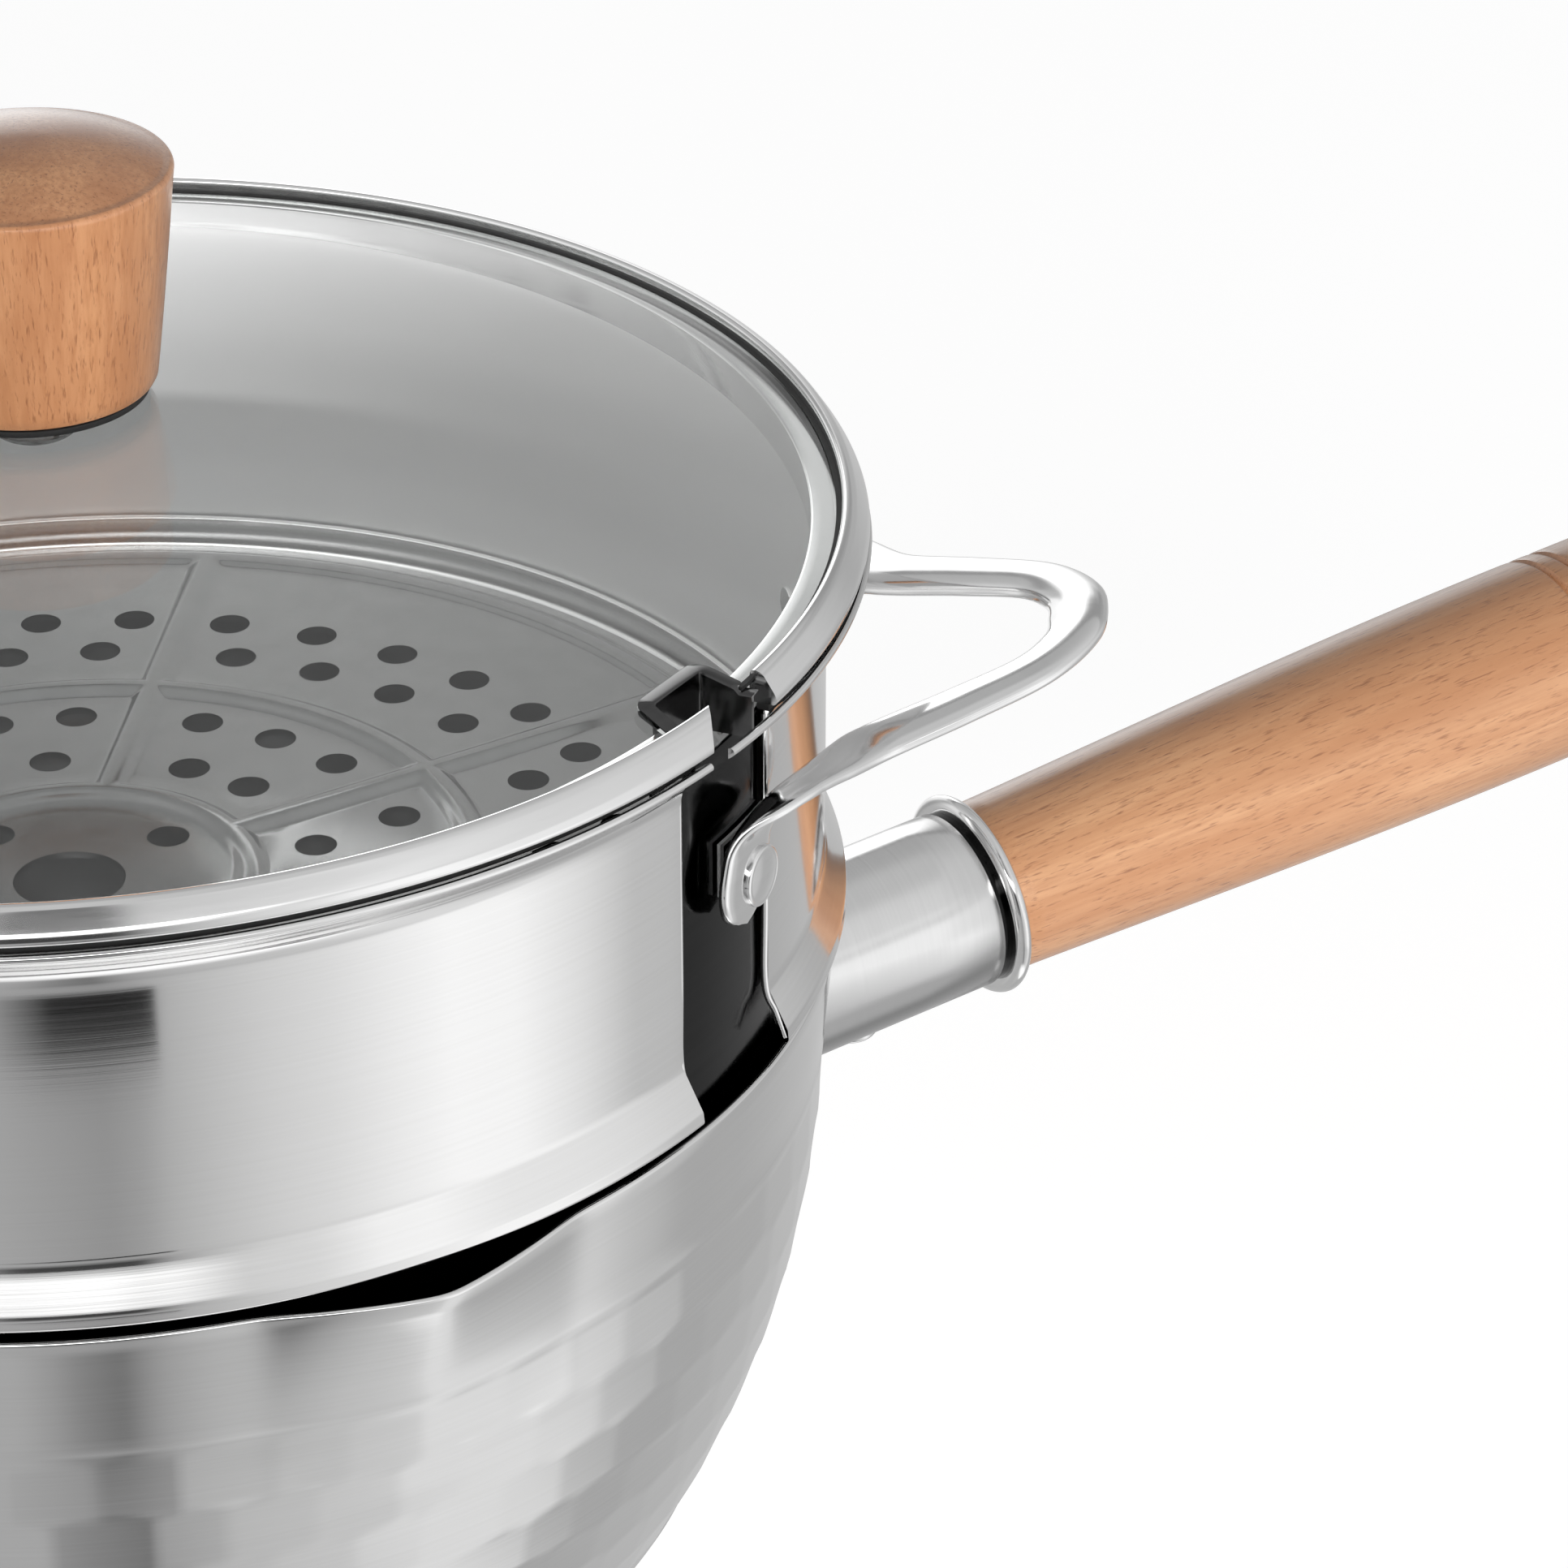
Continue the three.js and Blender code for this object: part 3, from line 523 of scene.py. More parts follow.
def potShape():
    # The outline turned round the axis, struck inwards along its normal, and drawn out to a nose at each spout.
    outer, inner = potOutline(0, (6, 20, 84, 7)), potOutline(pot["wall"], (6, 8, 12, 5))
    soft, turn, count = pot["rimRound"], fullTurn(pot["steps"]), len(outer)
    rim = arcPoints((pot["rim"] - soft, pot["height"] - soft), (soft, soft), 0, 180, 9)
    outer[-1, 1] -= soft
    inner[-1, 1] -= soft
    section = np.vstack([outer[:-1], rim, inner[-2::-1]])
    radius, height = (np.tile(v, (pot["steps"], 1)) for v in section.T)
    along = np.gradient(outer, axis=0)
    normal = unit(packed(along[:, 1], -along[:, 0]))
    dents = hammerDents(outer, turn)
    radius[:, :count] -= dents * normal[:, 0]
    height[:, :count] -= dents * normal[:, 1]
    fade = np.clip(1 - (pot["height"] - height) / pot["spoutDepth"], 0, 1) ** pot["spoutFade"]
    away = np.min([np.abs((np.degrees(turn) - at + 180) % 360 - 180) for at in pot["spoutAt"]], axis=0)
    tip, foot = pot["spoutTip"], pot["spoutFoot"]  # the nose is eased at its tip and where it leaves the wall
    left = 1 - (np.sqrt((away / pot["spoutHalf"]) ** 2 + tip ** 2) - tip)
    nose = (left + np.sqrt(left ** 2 + foot ** 2)) / 2
    radius = radius + pot["spoutReach"] * nose[:, None] * fade
    return carriedRound(turn, radius, height).reshape(-1, 3), gridFaces(pot["steps"], len(section), True, False)


makePiece("potBowl", potShape(), "pot_body", potSteel, 50)
print("pot made")

# Wooden handle: its own axis rises from the pot's axis

handle = dict(
    axisHeight=39.8, tilt=5.6, socket=12.0, socketWall=1.0, socketEnd=125.5, weld=1.5, weldSink=0.55,
    # in and back from the socket's end
    socketLip=((0, 0.25), (0.12, 0.07), (0.3, 0.0), (0.7, 0.0), (0.88, 0.07), (1.0, 0.25)),
    collar=2.3, collarGap=0.95, collarRadius=13.8, collarCrown=1.25,
    neck=11.0, shoulder=11.7, shoulderLength=2.5, full=14.1, end=254.0, endRound=9.0, tang=30.0, slack=0.3,
    grooves=(223.0, 226.5), grooveDepth=0.75, grooveWidth=0.75, steps=128,
    screwAt=108.0, screw=1.8, screwLength=9.0, screwHead=3.4, screwHeadHeight=1.8, screwDome=1.1,
)


def onHandle(points):
    # Points of a shape turned about Z laid along the handle's axis.
    tilt = math.radians(handle["tilt"])
    up, side, along = -points[:, 0], points[:, 1], points[:, 2]
    x = along * math.cos(tilt) - up * math.sin(tilt)
    return packed(x, side, handle["axisHeight"] + along * math.sin(tilt) + up * math.cos(tilt))


def alongHandle(shape):
    return onHandle(shape[0]), shape[1]


def socketShape():
    # Tube whose start follows the bowl: the place on each line is found by halving an interval.
    h = handle
    turn = fullTurn(h["steps"])

    def startAt(radius):
        low, high = np.full(len(turn), 50.0), np.full(len(turn), 110.0)
        for _ in range(30):
            middle = (low + high) / 2
            at = onHandle(packed(radius * np.cos(turn), radius * np.sin(turn), middle))
            outside = np.hypot(at[:, 0], at[:, 1]) > potRadiusAt(at[:, 2]) - h["weldSink"]
            low, high = np.where(outside, low, middle), np.where(outside, middle, high)
        return (low + high)[:, None] / 2

    away = np.r_[np.linspace(0, 1, 9) ** 1.6 * 5.0, np.linspace(7, 30, 10)]
    lipIn, lipBack = np.array(h["socketLip"]).T
    flare = h["weld"] * np.exp(-away / 0.9)
    radius = np.r_[h["socket"] + flare, h["socket"] - lipIn, h["socket"] - h["socketWall"]]
    lip = np.tile(h["socketEnd"] - lipBack, (len(turn), 1))
    along = np.hstack([startAt(h["socket"] + h["weld"]) + away, lip, startAt(h["socket"])])
    points = carriedRound(turn, radius, along).reshape(-1, 3)
    return onHandle(points), gridFaces(len(turn), len(radius), True, True)


def collarShape():
    # Half-round ring that closes on the wood, with a narrow foot inside.
    start = handle["socketEnd"] + handle["collarGap"]
    end = start + handle["collar"]
    inside, crownDepth = handle["neck"] + 0.12, handle["collarCrown"]
    middle = (handle["collarRadius"] - crownDepth, (start + end) / 2)
    crown = arcPoints(middle, (crownDepth, handle["collar"] / 2), -90, 90, 20)
    section = evenOut(np.vstack([[[inside, start]], crown, [[inside, end]]]), 0.4)
    return alongHandle(turned(section, handle["steps"]))


def collarGapShape():
    # Near-black band at the bottom of the groove between socket and ring: painted shade in the groove.
    start, end = handle["socketEnd"] + 0.02, handle["socketEnd"] + handle["collarGap"] - 0.02
    inner, outer = handle["neck"] + 0.1, handle["neck"] + 0.75
    return alongHandle(turned(box(inner, outer, start, end), handle["steps"]))


def gripShape():
    # Turned outline: tang, neck, shoulder, long swell, two grooves and a round end.
    h = handle
    neckStart = h["socketEnd"] + h["slack"]
    neckEnd = h["socketEnd"] + h["collarGap"] + h["collar"] + h["slack"]
    swellStart = neckEnd + h["shoulderLength"]
    along = np.linspace(swellStart, h["end"] - h["endRound"], 260)
    share = np.clip((along - swellStart) / (h["grooves"][0] - swellStart), 0, 1)
    radius = h["shoulder"] + (h["full"] - h["shoulder"]) * np.sin(share * np.pi / 2) ** 1.12
    offset = (along[:, None] - np.array(h["grooves"])) / (h["grooveWidth"] / 2)
    radius -= h["grooveDepth"] * np.exp(-offset ** 2).sum(1)
    end = arcPoints((h["full"] - h["endRound"], h["end"] - h["endRound"]), (h["endRound"],) * 2, 0, 90, 24)[1:]
    tang, tangStart = h["socket"] - h["socketWall"] - h["slack"], h["socketEnd"] - h["tang"]
    start = [[0, tangStart], [tang, tangStart], [tang, neckStart], [h["neck"], neckStart]]
    neck = [[h["neck"], neckEnd - h["slack"]], [h["neck"] + 0.25, neckEnd]]
    section = np.vstack([start, neck, packed(radius, along), end, [[0, h["end"]]]])
    return alongHandle(turned(evenOut(section, 1.5, False), h["steps"], False))


def handleScrewShape():
    # Domed head under the socket and a pointed shank, turned about an axis across the handle.
    h = handle
    top = -h["socket"] - h["slack"]
    foot, tip = top - h["screwHeadHeight"], h["screwLength"] - h["socket"]
    dome = arcPoints((0, foot + h["screwDome"]), (h["screwHead"], h["screwDome"]), -90, 0, 12)
    shank = [[h["screwHead"], top], [h["screw"], top], [h["screw"], tip - 1.8], [0, tip]]
    points, faces = turned(np.vstack([dome, shank]), 32, False)
    along, side, up = points.T
    return onHandle(packed(-up, side, along + h["screwAt"])), faces


makePiece("socketTube", socketShape(), "handle_socket", socketSteel, 40)
makePiece("collarRing", collarShape(), "collar_ring", satinSteel)
# Painted shade: a near-black band in the groove between socket and ring.
addPiece("collarGap", collarGapShape(), "pot", paintedShadeSteel)
makePiece("woodGrip", gripShape(), "handle_grip", handleWood, 40)
makePiece("gripScrew", handleScrewShape(), "handle_screw", brightSteel)
print("handle made")

# Steamer

steamer = dict(
    foot=92.0, flareRadius=91.6, hem=0.55, radius=89.0, inside=88.2, flareTop=98.6, flareBend=(0.12, 1.65),
    lipFoot=134.0, lipRadius=94.2, lipTop=138.9, lipHem=0.48, lipRound=2.4, slot=(-65.8, -53.3), slotReach=93.1,
    tongue=-60.4, tongueFoot=116.0, tongueTop=122.6, hemGap=(-66.5, -64.2), edge=0.43, steps=420,
    slotFoot=80, hemGapFoot=130, cutOut=120, cutTop=150,  # how far the cuts reach
)
seat = dict(
    outside=87.9, inside=87.1, foot=84.0, top=99.0, ledge=94.8, ledgeInside=78.1, sheet=0.8,
    gap=27.0, gapFoot=90.3,
)
# Near-black sheet behind the slot that stands in for the shade inside it: painted shade.
slotShade = dict(outside=87.9, sheet=0.5, start=-68.0, stop=-51.1, foot=90.6, top=134.1)


def steamerShape():
    # Sheet outline: rolled hem, flare, upright wall, and a lip that leans out to a thin rolled edge.
    s = steamer
    roll, lipRoll = (s["hem"],) * 2, (s["lipHem"],) * 2
    hem = arcPoints((s["flareRadius"] - s["hem"], s["foot"] + s["hem"]), roll, -160, 20, 12)
    edge = arcPoints((s["lipRadius"] - s["lipHem"], s["lipTop"] - s["lipHem"]), lipRoll, -55, 140, 14)
    flare = [[s["flareRadius"] - s["flareBend"][0], s["foot"] + s["flareBend"][1]]]
    outer = [[s["radius"], s["flareTop"]], [s["radius"], s["lipFoot"]]]
    inner = [[s["inside"], s["lipFoot"] + 0.5], [s["inside"], s["flareTop"] + 0.3]]
    radius = np.r_[np.zeros(12), 0.3, 0.7, s["lipRound"], np.zeros(14), s["lipRound"], 0.7]
    corners = roundCorners(np.vstack([hem, flare, outer, edge, inner]), radius, 7)
    return turned(evenOut(corners, 1.6), s["steps"])


def slotCutter():
    # The slot's outline, with the tongue behind the lug left standing, carried straight through the wall.
    s = steamer
    start, stop = s["slot"]
    middle = (start + stop) / 2
    left, right, tongue = (s["radius"] * math.sin(math.radians(a - middle)) for a in (start, stop, s["tongue"]))
    outline = [
        [left, s["slotFoot"]], [right, s["slotFoot"]], [right, s["tongueFoot"]], [tongue, s["tongueFoot"]],
        [tongue, s["tongueTop"]], [right, s["tongueTop"]], [right, s["cutTop"]], [left, s["cutTop"]],
    ]
    return prism(outline, (s["inside"] - 5, s["slotReach"]), middle)


def hemGapCutter():
    # A block as wide as the gap's angle at the lip.
    s = steamer
    start, stop = s["hemGap"]
    width = 2 * s["lipRadius"] * math.sin(math.radians(stop - start) / 2)
    return radialBlock((start + stop) / 2, s["inside"] + 2, s["cutOut"], width, s["hemGapFoot"], s["cutTop"])


def seatShape():
    # Upright ring with a ledge for the plate on its inside, turned round the axis.
    s = seat
    corners = [
        [s["inside"], s["foot"]], [s["outside"], s["foot"]], [s["outside"], s["top"]], [s["inside"], s["top"]],
        [s["inside"], s["ledge"]], [s["ledgeInside"], s["ledge"]], [s["ledgeInside"], s["ledge"] - s["sheet"]],
        [s["inside"], s["ledge"] - s["sheet"]],
    ]
    radius = [0.2, 0.2, 0.38, 0.38, 1.6, 0.3, 0.3, 0.6]
    return turned(evenOut(roundCorners(corners, radius), 1.5), steamer["steps"])


def slotShadeShape():
    # A curved near-black sheet behind the slot: painted shade inside the slot.
    s = slotShade
    inner = s["outside"] - s["sheet"]
    corners = box(inner, s["outside"], s["foot"], s["top"])
    radius, height = evenOut(roundCorners(corners, 0.15), 2.0).T
    return swept(carriedRound(np.radians(np.linspace(s["start"], s["stop"], 48)), radius, height))


def slotEdgeShape(angle):
    # A thin round hem along the cut edge: a circle carried up the wall's own line.
    s = steamer
    wall = s["radius"] - 0.4
    line = smoothPath([
        [s["flareRadius"] - 0.55, s["foot"] + 0.6], [s["radius"] + 0.9, s["flareTop"] - 3.0],
        [wall, s["flareTop"] + 0.6], [wall, 110.0], [wall, s["lipFoot"] - 0.4],
    ], 60)
    run = unit(np.gradient(line, axis=0))
    turn = fullTurn(14)
    radius = line[:, :1] + s["edge"] * np.cos(turn) * run[:, 1:]
    height = line[:, 1:] - s["edge"] * np.cos(turn) * run[:, :1]
    return spun(swept(packed(radius, s["edge"] * np.sin(turn), height)), angle)


shell = makePiece("steamerWall", steamerShape(), "steamer_shell", wallSteel)
cutAway(shell, slotCutter())
cutAway(shell, hemGapCutter())
for edgeName, angle in zip(("left", "right"), steamer["slot"]):
    addPiece("slotEdge_" + edgeName, slotEdgeShape(angle), "steamer", brightSteel, 60)
ring = makePiece("seatRing", seatShape(), "plate_seat_ring", seatSteel)
# The seat ring is cut away behind the slot, so that the painted shade sheet shows there.
slotShadeMiddle = (slotShade["start"] + slotShade["stop"]) / 2
seatGap = (seat["inside"] + 0.05, steamer["cutOut"], seat["gap"], seat["gapFoot"], steamer["cutTop"])
cutAway(ring, radialBlock(slotShadeMiddle, *seatGap))
# Painted shade: the near-black sheet behind the slot.
makePiece("slotShadeSheet", slotShadeShape(), "slot_shield", paintedShadeSteel)
print("steamer wall made")

# Steam plate: a sheet with pressed ribs, worked out as a height over radius and angle

plate = dict(
    foot=95.1, thickness=0.8, radius=85.9, fingerHole=6.5, hole=2.5, drill=(90.0, 102.0), sectors=7, turn=27.3,
    innerRing=(14.5, 4, 13.0), rings=((29.0, 2, 17.5), (40.0, 3, 14.5), (57.0, 4, 11.4), (65.3, 5, 10.2)),
    ribs=(21.0, 47.2, 82.0), ribHalf=1.55, ribHeight=0.85, ribSpread=5.5,
)


def plateShape():
    # Rib height is a rounded hump of the distance to the nearest ring or spoke.
    p = plate
    spread = np.linspace(-1, 1, 31)
    nearRib = p["ribSpread"] * np.sign(spread) * np.abs(spread) ** 1.7
    sector = np.r_[nearRib, np.linspace(p["ribSpread"], 360 / p["sectors"] - p["ribSpread"], 15)[1:-1]]
    spokes = p["turn"] + (np.arange(p["sectors"]) + 0.5) * 360 / p["sectors"]
    turn = np.radians((spokes[:, None] + sector[None, :]).reshape(-1))
    rings = np.array(p["ribs"])
    near = (rings[:, None] + np.linspace(-2.4, 2.4, 15)[None, :]).reshape(-1)
    radius = np.union1d(near, np.linspace(p["fingerHole"], p["radius"] - 0.25, 34))
    radius = radius[np.r_[True, np.diff(radius) > 0.12]]
    toRing = np.abs(radius[:, None] - rings[None, :]).min(1)
    offSpoke = np.tile(np.radians(sector), p["sectors"])
    toSpoke = np.abs(radius[None, :] * np.sin(offSpoke)[:, None])
    outside = np.maximum(0, np.maximum(rings[0] - radius, radius - rings[-1]))
    toSpoke = np.hypot(toSpoke, outside[None, :])

    def hump(distance):
        share = distance / p["ribHalf"]
        return np.exp(-share ** 4 * 0.7) * np.cos(np.clip(share, 0, 1.6) * 0.5)

    rise = p["ribHeight"] * np.maximum(hump(toRing)[None, :], hump(toSpoke))
    upper = carriedRound(turn, radius, p["foot"] + p["thickness"] + rise)
    lower = upper - [0, 0, p["thickness"]]
    edge = carriedRound(turn, np.array([p["radius"]]), upper[:, -1:, 2] - p["thickness"] / 2)
    rows = np.concatenate([upper, edge, lower[:, ::-1]], 1)
    return rows.reshape(-1, 3), gridFaces(len(turn), rows.shape[1], True, True)


def steamHoles():
    # One drill for each hole: a ring round the middle, then rows within each sector.
    p = plate
    sectors = p["turn"] + np.arange(p["sectors"]) * 360 / p["sectors"]
    ring, count, first = p["innerRing"]
    places = [packed(ring, first + np.arange(count) * 360 / count)]
    for ring, count, step in p["rings"]:
        angles = (sectors[:, None] + (np.arange(count) - (count - 1) / 2)[None, :] * step).reshape(-1)
        places.append(packed(ring, angles))
    points, faces = turned(box(0, p["hole"], *p["drill"]), 24, False)
    return joined([spun((points + [ring, 0, 0], faces), angle) for ring, angle in np.vstack(places)])


steamPlate = makePiece("steamPlate", plateShape(), "steam_plate", plateSteel, 40)
cutAway(steamPlate, steamHoles(), 40)
print("plate made")

# Loop handles: one strap that rises from a riveted lug, folds outwards and runs round to the other lug

loop = dict(
    angles=dict(right=-35.0, left=145.0), lugAngle=22.5, rivetAngle=22.7, lugFace=90.25,
    fold=119.6, foldRadius=4.0,
    lugLine=(  # distance up from the fold and along it, for the middle of the lug
        (-9.2, 3.3), (-6.9, 2.8), (-3.9, 1.9), (-1.4, 0.8), (1.1, -1.1), (2.6, -3.9), (3.4, -6.6),
    ),
    half=(  # out and side along the middle of one half of the strap, from beside the lug to the tip
        (89.9, 25.7), (95.34, 20.7), (104.86, 15.75), (112.94, 10.96), (116.98, 5.2),
    ),
    tip=(117.7, 0.0), tilt=15.2, lift=dict(front=2.8, rear=0.3), liftSpan=17.3,
    lugHalf=5.85, strapHalf=4.0, tipHalf=3.4, lugThickness=1.8, thickness=2.7, steps=150,
)
rivets = dict(
    height=117.4, radius=2.0, head=3.55, headHeight=0.95, headDome=0.4, headFoot=91.1,
    tail=2.2, tailTop=87.9, tailHeight=0.3, tailRound=0.1,
)


def eased(share):
    # Smooth step between 0 and 1.
    share = np.clip(share, 0, 1)
    return share * share * (3 - 2 * share)


def bulged(wave, power):
    # A sine or cosine raised to a power, with its sign kept, for a rounded rectangle.
    return np.sign(wave) * np.abs(wave) ** power


def loopShape():
    # One flat blank: its middle line and width are laid out in the plane, then each end is folded down
    # along the wall.
    lug, tilt = math.radians(loop["lugAngle"]), math.radians(loop["tilt"])
    slope = math.atan(math.tan(tilt) * math.cos(lug))  # rise of the strap seen straight out from the lug
    shear = -math.tan(tilt) * math.sin(lug)
    bend = math.pi / 2 - slope
    bendRadius, face = loop["foldRadius"], loop["lugFace"]
    arc = bendRadius * bend
    reach = face + bendRadius * (1 - math.cos(bend))

    def flatten(points):  # out and side to distance beyond the fold and distance along it
        out, side = np.asarray(points, float).T
        radial, along = out * math.cos(lug) + side * math.sin(lug), side * math.cos(lug) - out * math.sin(lug)
        return packed(arc + (radial - reach) / math.cos(slope), along)

    beyond = (loop["half"][-1][0], -loop["half"][-1][1])
    strap = flatten(loop["half"] + (loop["tip"], beyond))
    path = smoothPath(np.vstack([loop["lugLine"], strap]), loop["steps"])
    side = (reach + (path[:, 0] - arc) * math.cos(slope)) * math.sin(lug) + path[:, 1] * math.cos(lug)
    path = np.vstack([path[(side > 0.2) | (path[:, 0] < arc)], flatten([loop["tip"]])])
    length = lengthAlong(path)
    even = np.linspace(0, length[-1], loop["steps"])
    path = packed(np.interp(even, length, path[:, 0]), np.interp(even, length, path[:, 1]))
    run = np.gradient(path, axis=0)
    run[-1] = np.subtract(*flatten([(loop["tip"][0], -1.0), (loop["tip"][0], 1.0)]))  # the halves meet square
    run = unit(run)
    across = packed(run[:, 1], -run[:, 0])
    share = eased((path[:, 0] - 1.0) / 9.0)
    toTip = np.clip((path[:, 0] - 10) / 12, 0, 1)
    strapHalf = loop["strapHalf"] + (loop["tipHalf"] - loop["strapHalf"]) * toTip
    halfWidth = loop["lugHalf"] + (strapHalf - loop["lugHalf"]) * share
    bow = np.clip(1 - even / loop["lugHalf"], 0, 1)  # round end of the lug
    halfWidth = halfWidth * np.sqrt(np.clip(1 - bow ** 2, 0.0009, 1))
    inner = halfWidth * (1 - 0.45 * np.exp(-((path[:, 0] - 1.5) / 4.0) ** 2))  # narrower inside the bend
    thick = loop["lugThickness"] + (loop["thickness"] - loop["lugThickness"]) * share
    turn, crown = fullTurn(36), share[:, None]  # the strap is rounder than the lug
    wide, deep = bulged(np.cos(turn), 0.6 + 0.22 * crown), bulged(np.sin(turn), 0.62 + 0.3 * crown)
    reachWide = np.where(wide > 0, inner[:, None], halfWidth[:, None])
    flat = path[:, None] + across[:, None] * (reachWide * wide)[..., None]
    off = thick[:, None] / 2 * deep
    angle = np.clip(flat[..., 0] / bendRadius, 0, bend)
    before, after = np.minimum(flat[..., 0], 0), np.maximum(flat[..., 0] - arc, 0)
    radial = face + bendRadius * (1 - np.cos(angle)) + after * math.cos(slope) - off * np.cos(angle)
    height = loop["fold"] + before + bendRadius * np.sin(angle) + after * math.sin(slope) + off * np.sin(angle)
    height = height + shear * flat[..., 1]
    raised = eased(flat[..., 1] / loop["liftSpan"] + 1)
    out = radial * math.cos(lug) - flat[..., 1] * math.sin(lug)
    side = radial * math.sin(lug) + flat[..., 1] * math.cos(lug)
    rear = packed(out, side, height + loop["lift"]["rear"] * raised)
    front = packed(out, -side, height + loop["lift"]["front"] * raised)[::-1]
    return swept(np.concatenate([rear, front[1:]]))


def rivetShape(drop):
    # A low round head outside, a shank, and a tail inside the wall; turned about X.
    r = rivets
    foot, tail = r["headFoot"], r["tailTop"] - r["tailHeight"]
    bevel = arcPoints((foot + 0.3, r["head"] - 0.45), (0.35, 0.45), 90, 18, 8)[:, ::-1]
    share = np.linspace(1, 0, 14)
    crown = packed((r["head"] - 0.5) * share, foot + r["headHeight"] - r["headDome"] * share ** 2)
    shank = [
        [0, tail], [r["tail"] - r["tailRound"], tail], [r["tail"], tail + r["tailRound"]],
        [r["tail"], r["tailTop"]], [r["radius"], r["tailTop"]], [r["radius"], foot], [r["head"], foot],
    ]
    points, faces = turned(np.vstack([shank, bevel, crown]), 56, False)
    return packed(points[:, 2], points[:, 1], -points[:, 0] + r["height"] - drop), faces


for sideName, angle in loop["angles"].items():
    makePiece("loop_" + sideName, spun(loopShape(), angle), "loop_handle_" + sideName, brightSteel, 40)
    for endName, offset in (("front", -loop["rivetAngle"]), ("rear", loop["rivetAngle"])):
        rivet, node = rivetShape(loop["lift"]["front"] - loop["lift"][endName]), f"rivet_{sideName}_{endName}"
        makePiece("head_" + node, spun(rivet, angle + offset), node, brightSteel, 40)
print("loops made")

# Lid

lid = dict(
    rimFoot=139.4, sheet=0.5, skirtOutside=87.2, skirtFoot=134.4, bandInside=90.7, bandInsideTop=141.95,
    rimLine=((90.72, 142.1), (90.75, 143.5), (92.15, 143.35), (93.75, 140.95), (94.0, 140.2), (93.75, 139.7)),
    rimRound=(0.1, 0.7, 0.9, 0.5, 0.4, 0.4, 0.5, 0.2, 0.2, 0.4, 0.1, 0.1), steps=420,
    glassEdge=90.5, glassFoot=140.0, glassEdgeThickness=1.7, glassRise=14.8, glassThickness=3.4, glassHole=3.5,
    notchAngle=-63.5, bandAngle=-62.35, notchBack=85.4, notchHalf=(5.2, 6.4), skirtCut=(83.4, 93.0),
    # out and side of the band's cut, which slants off on its left
    bandCut=((84, -3.1), (84, 5.3), (93, 6.2), (110, 8.0), (110, -25.9), (91, -3.1)),
    linerSheet=0.6, linerFlange=1.3, linerTop=141.6, linerFoot=136.6, linerOut=92.0,
    linerBend=0.8, linerSlack=0.3,
    sealRadius=90.2, rest=(91.2, 92.7, 138.5, 139.38),
    skirtCutTop=139.0, bandCutFoot=138.0, sealCut=(80, 95.0), restCut=(80, 110.0), glassCut=93.0,
)
knob = dict(
    foot=157.9, footRadius=14.0, footRound=0.7, topRadius=17.2, side=25.2, lip=0.75, crown=4.8,
    bore=4.1, boreDepth=15.3, steps=160,
)
fixing = dict(
    screw=2.0, screwHead=5.0, screwHeadHeight=2.4, screwDome=1.6, screwTip=0.8, reach=11.0,
    insert=3.8, insertLength=14.0, gasket=13.2, gasketHeight=0.8, washer=6.5, washerHeight=1.0, slack=0.3,
)
glassTop = lid["glassFoot"] + lid["glassEdgeThickness"] + lid["glassRise"]
throughLid = (100, 200)  # heights between which a cut goes right through


def domeHeight(edge, rise, radius):
    # Part of a ball that rises by a given height above its edge.
    curve = (lid["glassEdge"] ** 2 + rise ** 2) / (2 * rise)
    return edge + rise - curve + np.sqrt(curve ** 2 - radius ** 2)


def glassHeight(radius):
    return domeHeight(lid["glassFoot"] + lid["glassEdgeThickness"], lid["glassRise"], radius)


def glassShape():
    # Two domes, the lower one flatter, so that the glass is thinner at its edge.
    radius = np.linspace(lid["glassHole"], lid["glassEdge"], 64)
    hollow = glassTop - lid["glassThickness"] - lid["glassFoot"]
    lower = packed(radius, domeHeight(lid["glassFoot"], hollow, radius))
    return turned(np.vstack([lower, packed(radius, glassHeight(radius))[::-1]]), 288)


def rimShape():
    # Folded band: a lip on the glass, a crease, a slope to the round outer edge, back under and down.
    r = lid
    inside, over = r["skirtOutside"] - r["sheet"], r["rimFoot"] + r["sheet"]
    under = [[r["skirtOutside"], r["rimFoot"]], [r["skirtOutside"], r["skirtFoot"]], [inside, r["skirtFoot"]]]
    back = [[inside, over], [r["bandInside"], over], [r["bandInside"], r["bandInsideTop"]]]
    corners = np.vstack([np.array(r["rimLine"]), under, back])
    return turned(evenOut(roundCorners(corners, r["rimRound"], 7), 1.4), r["steps"])


def sealShape():
    # Thin dark ring that closes the joint between the band and the glass.
    edge = lid["sealRadius"]
    low = float(glassHeight(edge))
    inner, outer = edge - 0.1, edge + 0.5
    section = [[inner, low - 0.3], [outer, low - 0.3], [outer, low + 0.25], [inner, low + 0.2]]
    return turned(section, lid["steps"])


